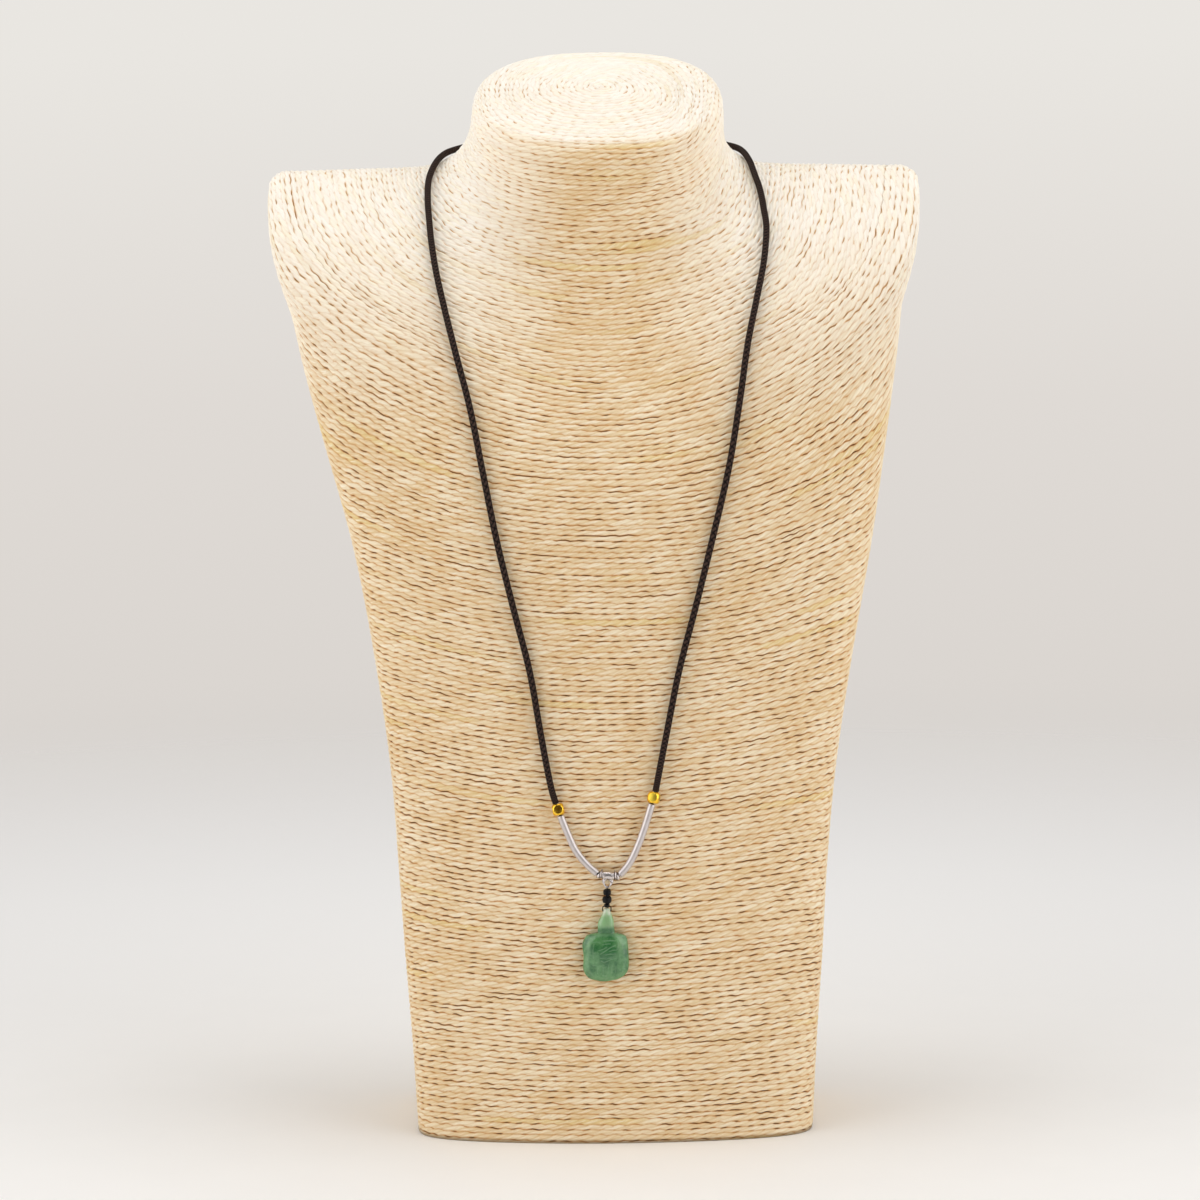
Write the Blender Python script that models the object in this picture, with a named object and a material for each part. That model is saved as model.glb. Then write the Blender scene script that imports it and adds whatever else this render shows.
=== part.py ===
"""Jade tortoise pendant necklace on a rope-wound neck bust.

Metres, +Z up. The origin is the middle of the bust's underside, and the front faces -Y.
The bust is a family of closed rings, which follow the courses of its winding from the
middle of the neck's top to the base. The necklace lies on that same surface.
"""

import math

import bmesh
import bpy
from mathutils import Matrix, Vector

# Neck bust
BUST_HEIGHT = 0.399
SHOULDER_WIDTH = 0.2412
NECK_WIDTH = 0.094
BASE_WIDTH = 0.148
BASE_DEPTH = 0.100

# Necklace
CORD_DIAMETER = 0.0024
BEAD_SIZE = 0.0042
BEAD_BALL = 0.00525
BEAD_BORE = 0.0020
BEAD_TILT = 10.0
BORE = 0.0016
CORE_DIAMETER = 0.0010
TUBE_DIAMETER = 0.0027
LEFT_TUBE_LENGTH = 0.0247
RIGHT_TUBE_LENGTH = 0.0281

# Bail bead with its loop
BAIL_LENGTH = 0.0070
BAIL_RIM = 0.0040
BAIL_WAIST = 0.0030
LOOP_WIDTH = 0.0036
LOOP_WIRE = 0.0009
LOOP_TAPER = 0.22
BAIL_LEAN = 6.0

# Knotted thread and jade
THREAD_DIAMETER = 0.0005
KNOT_WIDTH = 0.0032
KNOT_RUN = 0.0067
JADE_LENGTH = 0.0271
JADE_WIDTH = 0.0170
JADE_THICKNESS = 0.0056
JADE_HOLE = 0.0011
JADE_HOLE_DOWN = 0.0013
PENDANT_LEAN = 1.5

# The small space that neighbours keep, and the larger one under the cord
GAP = 0.0003
CORD_CLEARANCE = 0.0006

# Where the bail hangs, as shares of the base's width and of the bust's height
BAIL_ACROSS = -0.0125
BAIL_UP = 0.2552

AROUND = 72
CROWDING = 0.12
LONGEST_STEP = 0.012

# Each row is one winding ring. Front, back and side say where the ring crosses those lines.
# Depths are shares of the base's depth and heights are shares of the bust's height.
# Reach is -1 at the top's middle, 0 at the neck, 1 at the shoulders' ends and 2 at the base.
# Sway moves the ring sideways, as a share of the shoulders' width. Square, bulge and arch
# shape the ring: 2 is an ellipse and 8 nearly a box, a bulge rounds its front and back
# faces, and an arch over 1 keeps it level over more of the front.
RING_COLUMNS = (
    "front_depth", "back_depth", "front_height", "back_height", "side_height",
    "reach", "sway", "square", "bulge", "arch",
)
RINGS = (
    (0.080, 0.080, 0.9697, 0.9697, 0.9697, -1.000, -0.006, 2.00, 0.00, 1.0),
    (-0.119, 0.289, 0.9461, 0.9880, 0.9672, -0.532, -0.008, 2.10, 0.00, 1.0),
    (-0.246, 0.434, 0.9273, 0.9975, 0.9629, -0.223, -0.010, 2.30, 0.00, 1.0),
    (-0.300, 0.500, 0.9183, 1.0000, 0.9596, -0.077, -0.010, 2.50, 0.00, 1.0),
    (-0.322, 0.538, 0.9083, 0.9965, 0.9529, -0.017, -0.011, 2.50, 0.00, 1.0),
    (-0.314, 0.562, 0.8935, 0.9845, 0.9393, 0.000, -0.012, 2.40, 0.00, 1.0),
    (-0.284, 0.572, 0.8747, 0.9599, 0.9248, 0.008, -0.014, 2.30, 0.00, 1.0),
    (-0.249, 0.578, 0.8546, 0.9336, 0.9080, 0.043, -0.017, 2.25, 0.02, 1.0),
    (-0.235, 0.583, 0.8381, 0.9110, 0.8977, 0.103, -0.018, 2.25, 0.05, 1.0),
    (-0.236, 0.587, 0.8206, 0.8885, 0.8922, 0.190, -0.019, 2.35, 0.08, 1.0),
    (-0.262, 0.591, 0.7930, 0.8571, 0.8922, 0.344, -0.019, 2.60, 0.14, 1.0),
    (-0.303, 0.594, 0.7654, 0.8296, 0.8930, 0.502, -0.020, 2.90, 0.19, 1.0),
    (-0.346, 0.595, 0.7398, 0.8033, 0.8930, 0.663, -0.020, 3.20, 0.23, 1.0),
    (-0.392, 0.595, 0.7135, 0.7769, 0.8927, 0.832, -0.020, 3.50, 0.26, 1.0),
    (-0.436, 0.594, 0.6875, 0.7506, 0.8905, 0.957, -0.020, 3.80, 0.28, 1.0),
    (-0.452, 0.593, 0.6774, 0.7406, 0.8837, 0.996, -0.019, 3.90, 0.29, 1.05),
    (-0.466, 0.592, 0.6682, 0.7311, 0.8732, 1.000, -0.019, 4.00, 0.30, 1.1),
    (-0.506, 0.589, 0.6356, 0.6980, 0.8195, 1.137, -0.017, 4.20, 0.30, 1.3),
    (-0.534, 0.586, 0.6083, 0.6704, 0.7769, 1.206, -0.013, 4.40, 0.30, 1.5),
    (-0.553, 0.580, 0.5714, 0.6341, 0.7206, 1.309, -0.007, 4.80, 0.30, 1.7),
    (-0.560, 0.570, 0.4995, 0.5614, 0.6216, 1.485, 0.003, 5.40, 0.30, 2.0),
    (-0.560, 0.555, 0.3915, 0.4461, 0.4737, 1.695, 0.004, 6.40, 0.31, 2.2),
    (-0.560, 0.542, 0.3058, 0.3521, 0.3609, 1.815, 0.002, 7.00, 0.30, 2.3),
    (-0.556, 0.530, 0.2316, 0.2682, 0.2682, 1.873, 0.000, 7.50, 0.28, 2.4),
    (-0.546, 0.518, 0.1571, 0.1830, 0.1779, 1.916, 0.000, 8.00, 0.25, 2.4),
    (-0.526, 0.508, 0.0752, 0.0877, 0.0827, 1.966, 0.000, 8.00, 0.22, 2.4),
    (-0.500, 0.500, 0.0000, 0.0000, 0.0000, 2.000, 0.000, 8.00, 0.20, 2.4),
)

# The cord from the left gold bead, over the shoulder, round the back of the neck and down
# to the right gold bead: shares of the way down the rings, and degrees round from the front.
CORD_ROUTE = (
    (0.632, -11.8), (0.577, -12.9), (0.522, -14.3), (0.467, -14.8), (0.412, -14.8),
    (0.365, -14.9), (0.326, -17.8), (0.294, -22.5), (0.2675, -29.7), (0.2455, -41.2),
    (0.2300, -54.3), (0.2165, -67.0), (0.2050, -79.0), (0.1960, -91.0), (0.1910, -103.0),
    (0.1870, -116.0), (0.1830, -131.0), (0.1805, -147.0), (0.1800, -164.0), (0.1800, -181.0),
    (0.1800, -198.0), (0.1810, -214.0), (0.1835, -228.5), (0.1860, -242.0), (0.1890, -256.5),
    (0.1930, -269.5), (0.2020, -281.0), (0.2130, -289.0), (0.2270, -299.3), (0.2430, -309.9),
    (0.2660, -325.1), (0.2940, -334.9), (0.3270, -340.2), (0.3650, -342.8), (0.4120, -343.6),
    (0.4670, -345.8), (0.5220, -348.1), (0.5770, -350.2), (0.6320, -351.7),
)
POINTS_PER_SPAN = 2
CORD_LEAD = 3.0

# Each silver tube's slope, in degrees above level, at shares of the way out from the bail
LEFT_SLOPES = (
    (0.0, 38.0), (0.1, 44.0), (0.32, 52.0), (0.55, 66.0), (0.85, 69.0), (1.15, 70.0), (1.4, 76.0),
)
RIGHT_SLOPES = (
    (0.0, 42.0), (0.1, 52.0), (0.25, 63.0), (0.45, 68.0), (0.7, 71.5), (1.1, 73.0), (1.3, 80.0),
)

# The turned outline of the three knots: shares of the knots' run, and of a knot's width
KNOT_OUTLINE = (
    (0.00, 0.20), (0.03, 0.55), (0.12, 0.84), (0.22, 0.80), (0.30, 0.60), (0.38, 0.64),
    (0.46, 0.88), (0.58, 1.00), (0.69, 0.88), (0.76, 0.62), (0.84, 0.66), (0.91, 0.68),
    (0.96, 0.55), (1.00, 0.20),
)

# The tortoise, tip first: shares of its length, of half its width and of its thickness
JADE_COLUMNS = ("down", "left", "right", "front", "back")
JADE_ROWS = (
    (0.000, 0.06, 0.06, 0.12, 0.12),
    (0.008, 0.11, 0.11, 0.20, 0.20),
    (0.045, 0.14, 0.14, 0.27, 0.25),
    (0.095, 0.18, 0.19, 0.31, 0.28),
    (0.145, 0.25, 0.24, 0.35, 0.31),
    (0.200, 0.33, 0.28, 0.38, 0.34),
    (0.245, 0.37, 0.31, 0.39, 0.36),
    (0.295, 0.38, 0.35, 0.37, 0.36),
    (0.330, 0.38, 0.36, 0.35, 0.36),
    (0.347, 0.61, 0.68, 0.38, 0.36),
    (0.377, 0.85, 0.85, 0.45, 0.36),
    (0.449, 1.00, 0.93, 0.55, 0.36),
    (0.513, 1.04, 0.95, 0.60, 0.36),
    (0.570, 1.02, 0.96, 0.63, 0.36),
    (0.638, 0.98, 0.98, 0.64, 0.36),
    (0.736, 0.98, 1.00, 0.61, 0.36),
    (0.819, 0.99, 0.98, 0.55, 0.36),
    (0.875, 0.94, 0.91, 0.48, 0.36),
    (0.928, 0.83, 0.75, 0.40, 0.34),
    (0.970, 0.66, 0.50, 0.31, 0.29),
    (1.000, 0.26, 0.04, 0.16, 0.18),
)
# The rows that make its neck: the shell's own run starts after them
NECK_ROWS = 9
# Half of a tortoise section from its edge inwards: shares of the half width and of the height
SHELL_SECTION = (
    (1.00, 0.00), (0.985, 0.30), (0.93, 0.52), (0.87, 0.60), (0.82, 0.66), (0.72, 0.82),
    (0.55, 0.93), (0.30, 0.985),
)
BACK_SECTION = ((0.30, 1.00), (0.60, 0.99), (0.85, 0.90), (0.96, 0.60))


def clear_scene():
    for item in list(bpy.data.objects):
        bpy.data.objects.remove(item, do_unlink=True)


def material(name, colour, roughness, metallic=0.0):
    made = bpy.data.materials.new(name)
    made.use_nodes = True
    shader = made.node_tree.nodes["Principled BSDF"]
    shader.inputs["Base Color"].default_value = (*colour, 1.0)
    shader.inputs["Roughness"].default_value = roughness
    shader.inputs["Metallic"].default_value = metallic
    made.diffuse_color = (*colour, 1.0)
    return made


def add_object(name, data, finish, place=None):
    made = bpy.data.objects.new(name, data)
    bpy.context.scene.collection.objects.link(made)
    made.data.materials.append(finish)
    if place is not None:
        made.matrix_world = place
    return made


def add_mesh(name, shape, finish, place=None, smooth_angle=40.0):
    bmesh.ops.recalc_face_normals(shape, faces=shape.faces)
    mesh = bpy.data.meshes.new(name)
    shape.to_mesh(mesh)
    shape.free()
    mesh.shade_smooth()
    mesh.set_sharp_from_angle(angle=math.radians(smooth_angle))
    return add_object(name, mesh, finish, place)


def combine(target, other, operation):
    other.hide_render = True
    other.display_type = "WIRE"
    step = target.modifiers.new(other.name, "BOOLEAN")
    step.operation = operation
    step.solver = "EXACT"
    step.object = other


def loft(loops, capped=True):
    """Joins closed loops of as many points each, in order, and caps the two ends."""
    shape = bmesh.new()
    rows = [[shape.verts.new(point) for point in loop] for loop in loops]
    count = len(rows[0])
    pairs = list(zip(rows, rows[1:]))
    if not capped:
        pairs.append((rows[-1], rows[0]))
    for upper, lower in pairs:
        for i in range(count):
            j = (i + 1) % count
            shape.faces.new((upper[i], lower[i], lower[j], upper[j]))
    if capped:
        shape.faces.new(rows[0])
        shape.faces.new(list(reversed(rows[-1])))
    return shape


def turned(outline, sides, axis="Z"):
    """A closed loop of (along, radius) points, turned about an axis into a ring or sleeve."""
    loops = []
    for i in range(sides):
        angle = math.tau * i / sides
        c, s = math.cos(angle), math.sin(angle)
        if axis == "X":
            loops.append([Vector((along, radius * c, radius * s)) for along, radius in outline])
        else:
            loops.append([Vector((radius * c, radius * s, along)) for along, radius in outline])
    return loft(loops, capped=False)


def smooth_run(points, spans):
    """Reads a Catmull-Rom curve through the points, with this many steps in each span."""
    run = []
    last = len(points) - 1
    for i in range(last):
        before, start = points[max(i - 1, 0)], points[i]
        end, after = points[i + 1], points[min(i + 2, last)]
        for k in range(spans):
            u = k / spans
            run.append(
                0.5 * (2 * start + (end - before) * u
                + (2 * before - 5 * start + 4 * end - after) * u * u
                + (3 * start - before - 3 * end + after) * u ** 3)
            )
    run.append(points[last])
    return run


def ring_sizes():
    """The ring table in metres, with each ring's distance down the front of the bust."""
    half_widths = (0.0, NECK_WIDTH / 2, SHOULDER_WIDTH / 2, BASE_WIDTH / 2)
    rings = []
    down = 0.0
    for row in RINGS:
        ring = dict(zip(RING_COLUMNS, row))
        for key in ("front_depth", "back_depth"):
            ring[key] *= BASE_DEPTH
        for key in ("front_height", "back_height", "side_height"):
            ring[key] *= BUST_HEIGHT
        ring["sway"] *= SHOULDER_WIDTH
        zone = min(int(ring["reach"] + 1), 2)
        part = ring["reach"] + 1 - zone
        inner, outer = half_widths[zone], half_widths[zone + 1]
        ring["half_width"] = inner + (outer - inner) * part
        if rings:
            before = rings[-1]
            down += math.hypot(
                ring["front_depth"] - before["front_depth"],
                ring["front_height"] - before["front_height"],
            )
        ring["down"] = down
        rings.append(ring)
    return rings


def add_slopes(rings):
    """Gives each ring the slope of every value, so that a cubic can join the rings."""
    keys = [key for key in rings[0] if key not in ("down", "reach")]
    last = len(rings) - 1
    for i, ring in enumerate(rings):
        a, b = rings[max(i - 1, 0)], rings[min(i + 1, last)]
        before = max(ring["down"] - a["down"], 1e-9)
        after = max(b["down"] - ring["down"], 1e-9)
        ring["slopes"] = {}
        for key in keys:
            rise_before = (ring[key] - a[key]) / before
            rise_after = (b[key] - ring[key]) / after
            if i == 0:
                slope = rise_after
            elif i == last:
                slope = rise_before
            else:
                slope = (rise_before * after + rise_after * before) / (before + after)
            ring["slopes"][key] = slope
    return rings


BUST_RINGS = add_slopes(ring_sizes())
FRONT_LENGTH = BUST_RINGS[-1]["down"]


def ring_at(down):
    """Every value of the ring that lies this far down the front."""
    down = min(max(down, 0.0), FRONT_LENGTH)
    i = 0
    while i < len(BUST_RINGS) - 2 and BUST_RINGS[i + 1]["down"] < down:
        i += 1
    a, b = BUST_RINGS[i], BUST_RINGS[i + 1]
    step = b["down"] - a["down"]
    u = (down - a["down"]) / step
    return {
        key: (2 * u ** 3 - 3 * u ** 2 + 1) * a[key]
        + (u ** 3 - 2 * u ** 2 + u) * step * a["slopes"][key]
        + (3 * u ** 2 - 2 * u ** 3) * b[key]
        + (u ** 3 - u ** 2) * step * b["slopes"][key]
        for key in a["slopes"]
    }


def ring_point(ring, turn):
    """The point of a ring at an angle round from the front, in radians."""
    angle = turn + CROWDING * math.sin(4 * turn)
    c, s = math.cos(angle), math.sin(angle)
    square = ring["square"]
    radius = (abs(c) ** square + abs(s) ** square) ** (-1 / square)
    across = s * radius
    forward = c * radius * (1 - ring["bulge"] * across ** 2)
    front_y, back_y = ring["front_depth"], ring["back_depth"]
    front_z, back_z, side_z = ring["front_height"], ring["back_height"], ring["side_height"]
    level = 1 - abs(s) ** (2 * ring["arch"])
    return Vector((
        ring["sway"] + ring["half_width"] * across,
        (front_y + back_y) / 2 - (back_y - front_y) / 2 * forward,
        side_z + (front_z - back_z) / 2 * forward + ((front_z + back_z) / 2 - side_z) * level,
    ))


def bust_point(down, turn, lift=0.0):
    """A point on the bust, or lifted off it along its normal."""
    point = ring_point(ring_at(down), turn)
    if not lift:
        return point
    small, little = 0.0002, 0.002
    along = ring_point(ring_at(down), turn + little) - ring_point(ring_at(down), turn - little)
    below = ring_point(ring_at(down + small), turn) - ring_point(ring_at(down - small), turn)
    return point + lift * below.cross(along).normalized()


def chest_point(x, z, lift):
    """The point in front of the chest at this place across and up, lifted off the surface."""
    low, high = 0.3 * FRONT_LENGTH, FRONT_LENGTH
    for _ in range(40):
        middle = (low + high) / 2
        ring = ring_at(middle)
        turn = turn_at(ring, x)
        if ring_point(ring, turn).z > z:
            low = middle
        else:
            high = middle
    return Vector((x, ring_point(ring, turn).y - lift, z))


def turn_at(ring, x):
    """The angle at which the front half of a ring passes this place across."""
    low, high = -math.pi / 2, math.pi / 2
    for _ in range(40):
        middle = (low + high) / 2
        if ring_point(ring, middle).x < x:
            low = middle
        else:
            high = middle
    return low


def make_bust(finish):
    loops = []
    turns = [math.tau * i / AROUND for i in range(AROUND)]
    for upper, lower in zip(BUST_RINGS, BUST_RINGS[1:]):
        span = lower["down"] - upper["down"]
        steps = math.ceil(span / LONGEST_STEP)
        for k in range(steps):
            down = upper["down"] + span * k / steps
            if down > 0:
                loops.append([bust_point(down, turn) for turn in turns])
    loops.append([bust_point(FRONT_LENGTH, turn) for turn in turns])
    shape = loft(loops)
    add_mesh("neck_bust", shape, finish, smooth_angle=60.0)


STRING_LIFT = max(BEAD_SIZE, BAIL_RIM) / 2 + GAP


def bail_centre():
    return chest_point(BAIL_ACROSS * BASE_WIDTH, BAIL_UP * BUST_HEIGHT, STRING_LIFT)


def slope_at(slopes, share):
    for (start, a), (end, b) in zip(slopes, slopes[1:]):
        if share <= end:
            return a + (b - a) * (share - start) / (end - start)
    return slopes[-1][1]


def string_run(side):
    """Half of the string from the bail outwards: side is -1 for left and 1 for right.

    It gives the stops along the run, the points every half millimetre, and the slopes.
    """
    slopes = LEFT_SLOPES if side < 0 else RIGHT_SLOPES
    tube = LEFT_TUBE_LENGTH if side < 0 else RIGHT_TUBE_LENGTH
    first = math.radians(slopes[0][1])
    corner = TUBE_DIAMETER / 2 * math.sin(first)
    start = BAIL_LENGTH / 2 + (corner + GAP) / math.cos(first)
    stops = {"tube_in": start, "tube_out": start + tube}
    stops["bead_in"] = stops["tube_out"] + GAP
    stops["bead_out"] = stops["bead_in"] + BEAD_SIZE
    stops["cord"] = stops["bead_out"] + GAP
    return stops, slopes


def string_point(side, distance):
    """The string's point this far out from the bail's middle, and its direction there."""
    stops, slopes = string_run(side)
    lean = -side * math.radians(BAIL_LEAN)
    centre = bail_centre()
    half = BAIL_LENGTH / 2
    x, z, gone = 0.0, 0.0, 0.0
    tube = stops["tube_out"] - stops["tube_in"]
    steps = 160
    slope = lean
    for k in range(steps):
        step = distance / steps
        gone += step
        share = (gone - stops["tube_in"]) / tube
        slope = lean if gone < half else math.radians(slope_at(slopes, max(share, 0.0)))
        x += step * math.cos(slope)
        z += step * math.sin(slope)
    across = side * x + centre.x
    point = chest_point(across, centre.z + z, STRING_LIFT)
    ahead = 0.0005
    beyond = chest_point(
        across + side * ahead * math.cos(slope), centre.z + z + ahead * math.sin(slope), STRING_LIFT
    )
    return point, (beyond - point).normalized()


def frame_along(point, direction):
    """A placing whose X runs along the direction and whose -Y faces away from the chest."""
    x = direction.normalized()
    y = Vector((0, 1, 0))
    y = (y - x * x.dot(y)).normalized()
    z = x.cross(y)
    return Matrix.Translation(point) @ Matrix((x, y, z)).transposed().to_4x4()


def make_bead(name, side, finish):
    stops, _ = string_run(side)
    point, direction = string_point(side, (stops["bead_in"] + stops["bead_out"]) / 2)
    tilt = Matrix.Rotation(-side * math.radians(BEAD_TILT), 4, "Y")
    place = frame_along(point, direction) @ tilt
    cube = bmesh.new()
    bmesh.ops.create_cube(cube, size=BEAD_SIZE)
    bead = add_mesh(name, cube, finish, place)
    ball = bmesh.new()
    bmesh.ops.create_uvsphere(ball, u_segments=28, v_segments=18, radius=BEAD_BALL / 2)
    combine(bead, add_mesh(name + "_ball", ball, finish, place), "INTERSECT")
    drill = turned_rod("X", BEAD_BORE / 2, BEAD_SIZE, 16)
    combine(bead, add_mesh(name + "_drill", drill, finish, place), "DIFFERENCE")


def turned_rod(axis, radius, length, sides):
    rod = bmesh.new()
    turn = Matrix.Rotation(math.pi / 2, 4, "Y") if axis == "X" else Matrix()
    bmesh.ops.create_cone(
        rod, cap_ends=True, segments=sides, radius1=radius, radius2=radius, depth=length * 1.5,
        matrix=turn,
    )
    return rod


def make_tube(name, side, finish):
    """A silver tube: a wall between two curved skins, open at both ends for the core."""
    stops, _ = string_run(side)
    steps, sides = 16, 14
    outer, inner = [], []
    for k in range(steps + 1):
        distance = stops["tube_in"] + (stops["tube_out"] - stops["tube_in"]) * k / steps
        point, direction = string_point(side, distance)
        place = frame_along(point, direction)
        for loops, radius in ((outer, TUBE_DIAMETER / 2), (inner, BORE / 2)):
            loops.append([
                place @ Vector((0, radius * math.cos(a), radius * math.sin(a)))
                for a in (math.tau * i / sides for i in range(sides))
            ])
    add_mesh(name, loft(outer + inner[::-1], capped=False), finish, smooth_angle=50.0)


def make_bail(finish):
    """A waisted barrel with two beaded rims, one piece with the loop under it."""
    half, rim, waist = BAIL_LENGTH / 2, BAIL_RIM / 2, BAIL_WAIST / 2
    bore = BORE / 2
    outline = (
        (-half, bore), (-half, rim * 0.90), (-half * 0.95, rim), (-half * 0.84, rim * 0.97),
        (-half * 0.70, rim * 0.80), (-half * 0.60, waist * 0.88), (-half * 0.50, waist * 0.94),
        (-half * 0.25, waist), (half * 0.25, waist), (half * 0.50, waist * 0.94),
        (half * 0.60, waist * 0.88), (half * 0.70, rim * 0.80), (half * 0.84, rim * 0.97),
        (half * 0.95, rim), (half, rim * 0.90), (half, bore),
    )
    place = Matrix.Translation(bail_centre()) @ Matrix.Rotation(math.radians(BAIL_LEAN), 4, "Y")
    bail = add_mesh("bail_bead", turned(outline, 24, "X"), finish, place)
    ring = turned(ring_outline((LOOP_WIDTH - LOOP_WIRE) / 2, LOOP_WIRE / 2, 10), 24)
    bmesh.ops.rotate(ring, matrix=Matrix.Rotation(math.pi / 2, 3, "X"), verts=ring.verts)
    for vertex in ring.verts:
        vertex.co.x *= 1 + LOOP_TAPER * vertex.co.z / (LOOP_WIDTH / 2)
    bmesh.ops.translate(ring, vec=Vector((0, 0, -loop_drop())), verts=ring.verts)
    combine(bail, add_mesh("bail_loop", ring, finish, place), "UNION")


def ring_outline(radius, wire, sides):
    """The round section of a ring, as (along, radius) points."""
    return [
        (wire * math.sin(a), radius + wire * math.cos(a))
        for a in (math.tau * i / sides for i in range(sides))
    ]


def loop_drop():
    """How far the loop's middle hangs under the barrel's: its wire is let into the wall."""
    return BAIL_WAIST / 2 - LOOP_WIRE * 0.15 + (LOOP_WIDTH - LOOP_WIRE) / 2


def pendant_place():
    """The placing of the thread and the jade: its origin is the middle of the loop's low wire."""
    low = loop_drop() + (LOOP_WIDTH - LOOP_WIRE) / 2
    lean = Matrix.Rotation(math.radians(BAIL_LEAN), 4, "Y")
    origin = bail_centre() + (lean @ Vector((0, 0, -low)))
    return Matrix.Translation(origin) @ Matrix.Rotation(math.radians(PENDANT_LEAN), 4, "Y")


THREAD_RING = LOOP_WIRE / 2 + GAP + THREAD_DIAMETER / 2
KNOT_TOP = THREAD_RING
TIP_TOP = KNOT_TOP + KNOT_RUN + GAP


def make_knotted_thread(finish):
    """A thread that rings the bail's loop, is knotted three times and rings the jade's tip."""
    place = pendant_place()
    outline = [(-KNOT_TOP - KNOT_RUN * down, KNOT_WIDTH / 2 * wide) for down, wide in KNOT_OUTLINE]
    loops = [
        [Vector((r * math.cos(a), r * 0.9 * math.sin(a), z)) for a in
         (math.tau * i / 14 for i in range(14))]
        for z, r in outline
    ]
    thread = add_mesh("knotted_thread", loft(loops), finish, place, smooth_angle=70.0)
    ring = turned(ring_outline(THREAD_RING, THREAD_DIAMETER / 2, 8), 18)
    bmesh.ops.rotate(ring, matrix=Matrix.Rotation(math.pi / 2, 3, "Y"), verts=ring.verts)
    combine(thread, add_mesh("thread_ring", ring, finish, place), "UNION")
    stirrup = loft(stirrup_loops(), capped=False)
    combine(thread, add_mesh("thread_stirrup", stirrup, finish, place), "UNION")


def stirrup_loops():
    """The strand that goes down both sides of the jade's tip and through its hole."""
    hole = -TIP_TOP - JADE_HOLE_DOWN
    top = -KNOT_TOP - KNOT_RUN * 0.93
    half = tip_half_width() + GAP + THREAD_DIAMETER / 2
    middle, tall = (top + hole) / 2, (top - hole) / 2
    steps, sides, square = 36, 6, 4
    loops = []
    for k in range(steps):
        a = math.tau * k / steps
        c, s = math.cos(a), math.sin(a)
        reach = (abs(c) ** square + abs(s) ** square) ** (-1 / square)
        centre = Vector((half * reach * c, 0, middle + tall * reach * s))
        out = Vector((c / half, 0, s / tall)).normalized()
        loops.append([
            centre + THREAD_DIAMETER / 2 * (out * math.cos(b) + Vector((0, 1, 0)) * math.sin(b))
            for b in (math.tau * i / sides for i in range(sides))
        ])
    return loops


def jade_section(values):
    """One row of the tortoise's table in metres."""
    row = dict(zip(JADE_COLUMNS, values))
    return {
        "down": row["down"] * JADE_LENGTH,
        "left": row["left"] * JADE_WIDTH / 2,
        "right": row["right"] * JADE_WIDTH / 2,
        "front": row["front"] * JADE_THICKNESS,
        "back": row["back"] * JADE_THICKNESS,
    }


def jade_sections():
    """The tortoise's sections, with a smooth run through the rows of its neck and its shell."""
    rows = [Vector(row) for row in JADE_ROWS]
    corner = NECK_ROWS - 1
    neck = smooth_run(rows[:corner + 1], 2)
    shell = smooth_run(rows[corner + 1:], 2)
    return [jade_section(row) for row in neck + shell]


def tip_half_width():
    """Half the tip's width at its hole."""
    for upper, lower in zip(jade_sections(), jade_sections()[1:]):
        if lower["down"] >= JADE_HOLE_DOWN:
            return max(lower["left"], lower["right"])
    return JADE_WIDTH / 2


def jade_loop(row):
    """One level section of the tortoise: over its front from right to left, then its back."""
    over = [(share, -high * row["front"]) for share, high in SHELL_SECTION]
    under = [(share, high * row["back"]) for share, high in BACK_SECTION]
    right = [Vector((share * row["right"], y, 0)) for share, y in over]
    left = [Vector((-share * row["left"], y, 0)) for share, y in reversed(over)]
    back_left = [Vector((-share * row["left"], y, 0)) for share, y in reversed(under)]
    back_right = [Vector((share * row["right"], y, 0)) for share, y in under]
    loop = right + left + back_left + back_right
    for point in loop:
        point.z = -row["down"]
    return loop


def make_jade(finish):
    """The tortoise lies with its flat back on the chest, its tip's hole on the thread's line."""
    place = pendant_place() @ Matrix.Translation((0, 0, -TIP_TOP))
    shape = loft([jade_loop(section) for section in jade_sections()])
    jade = add_mesh("jade_tortoise", shape, finish, place, smooth_angle=50.0)
    drill = turned_rod("X", JADE_HOLE / 2, JADE_WIDTH, 14)
    bmesh.ops.translate(drill, vec=Vector((0, 0, -JADE_HOLE_DOWN)), verts=drill.verts)
    combine(jade, add_mesh("jade_drill", drill, finish, place), "DIFFERENCE")


def add_cord(name, points, diameter, resolution, finish):
    curve = bpy.data.curves.new(name, "CURVE")
    curve.dimensions = "3D"
    curve.bevel_depth = diameter / 2
    curve.bevel_resolution = resolution
    curve.use_fill_caps = True
    spline = curve.splines.new("POLY")
    spline.points.add(len(points) - 1)
    for slot, point in zip(spline.points, points):
        slot.co = (*point, 1.0)
    return add_object(name, curve, finish)


def make_neck_cord(finish):
    """The braided cord, from the left gold bead round the neck to the right gold bead."""
    lift = CORD_DIAMETER / 2 + CORD_CLEARANCE
    chosen = [
        bust_point(share * FRONT_LENGTH, math.radians(turn), lift) for share, turn in CORD_ROUTE
    ]
    lead = CORD_LEAD * CORD_DIAMETER
    start, end = (
        [string_point(side, string_run(side)[0]["cord"] + ahead)[0] for ahead in (0, lead)]
        for side in (-1, 1)
    )
    points = smooth_run(start + chosen + end[::-1], POINTS_PER_SPAN)
    add_cord("neck_cord", points, CORD_DIAMETER, 2, finish)


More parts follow.
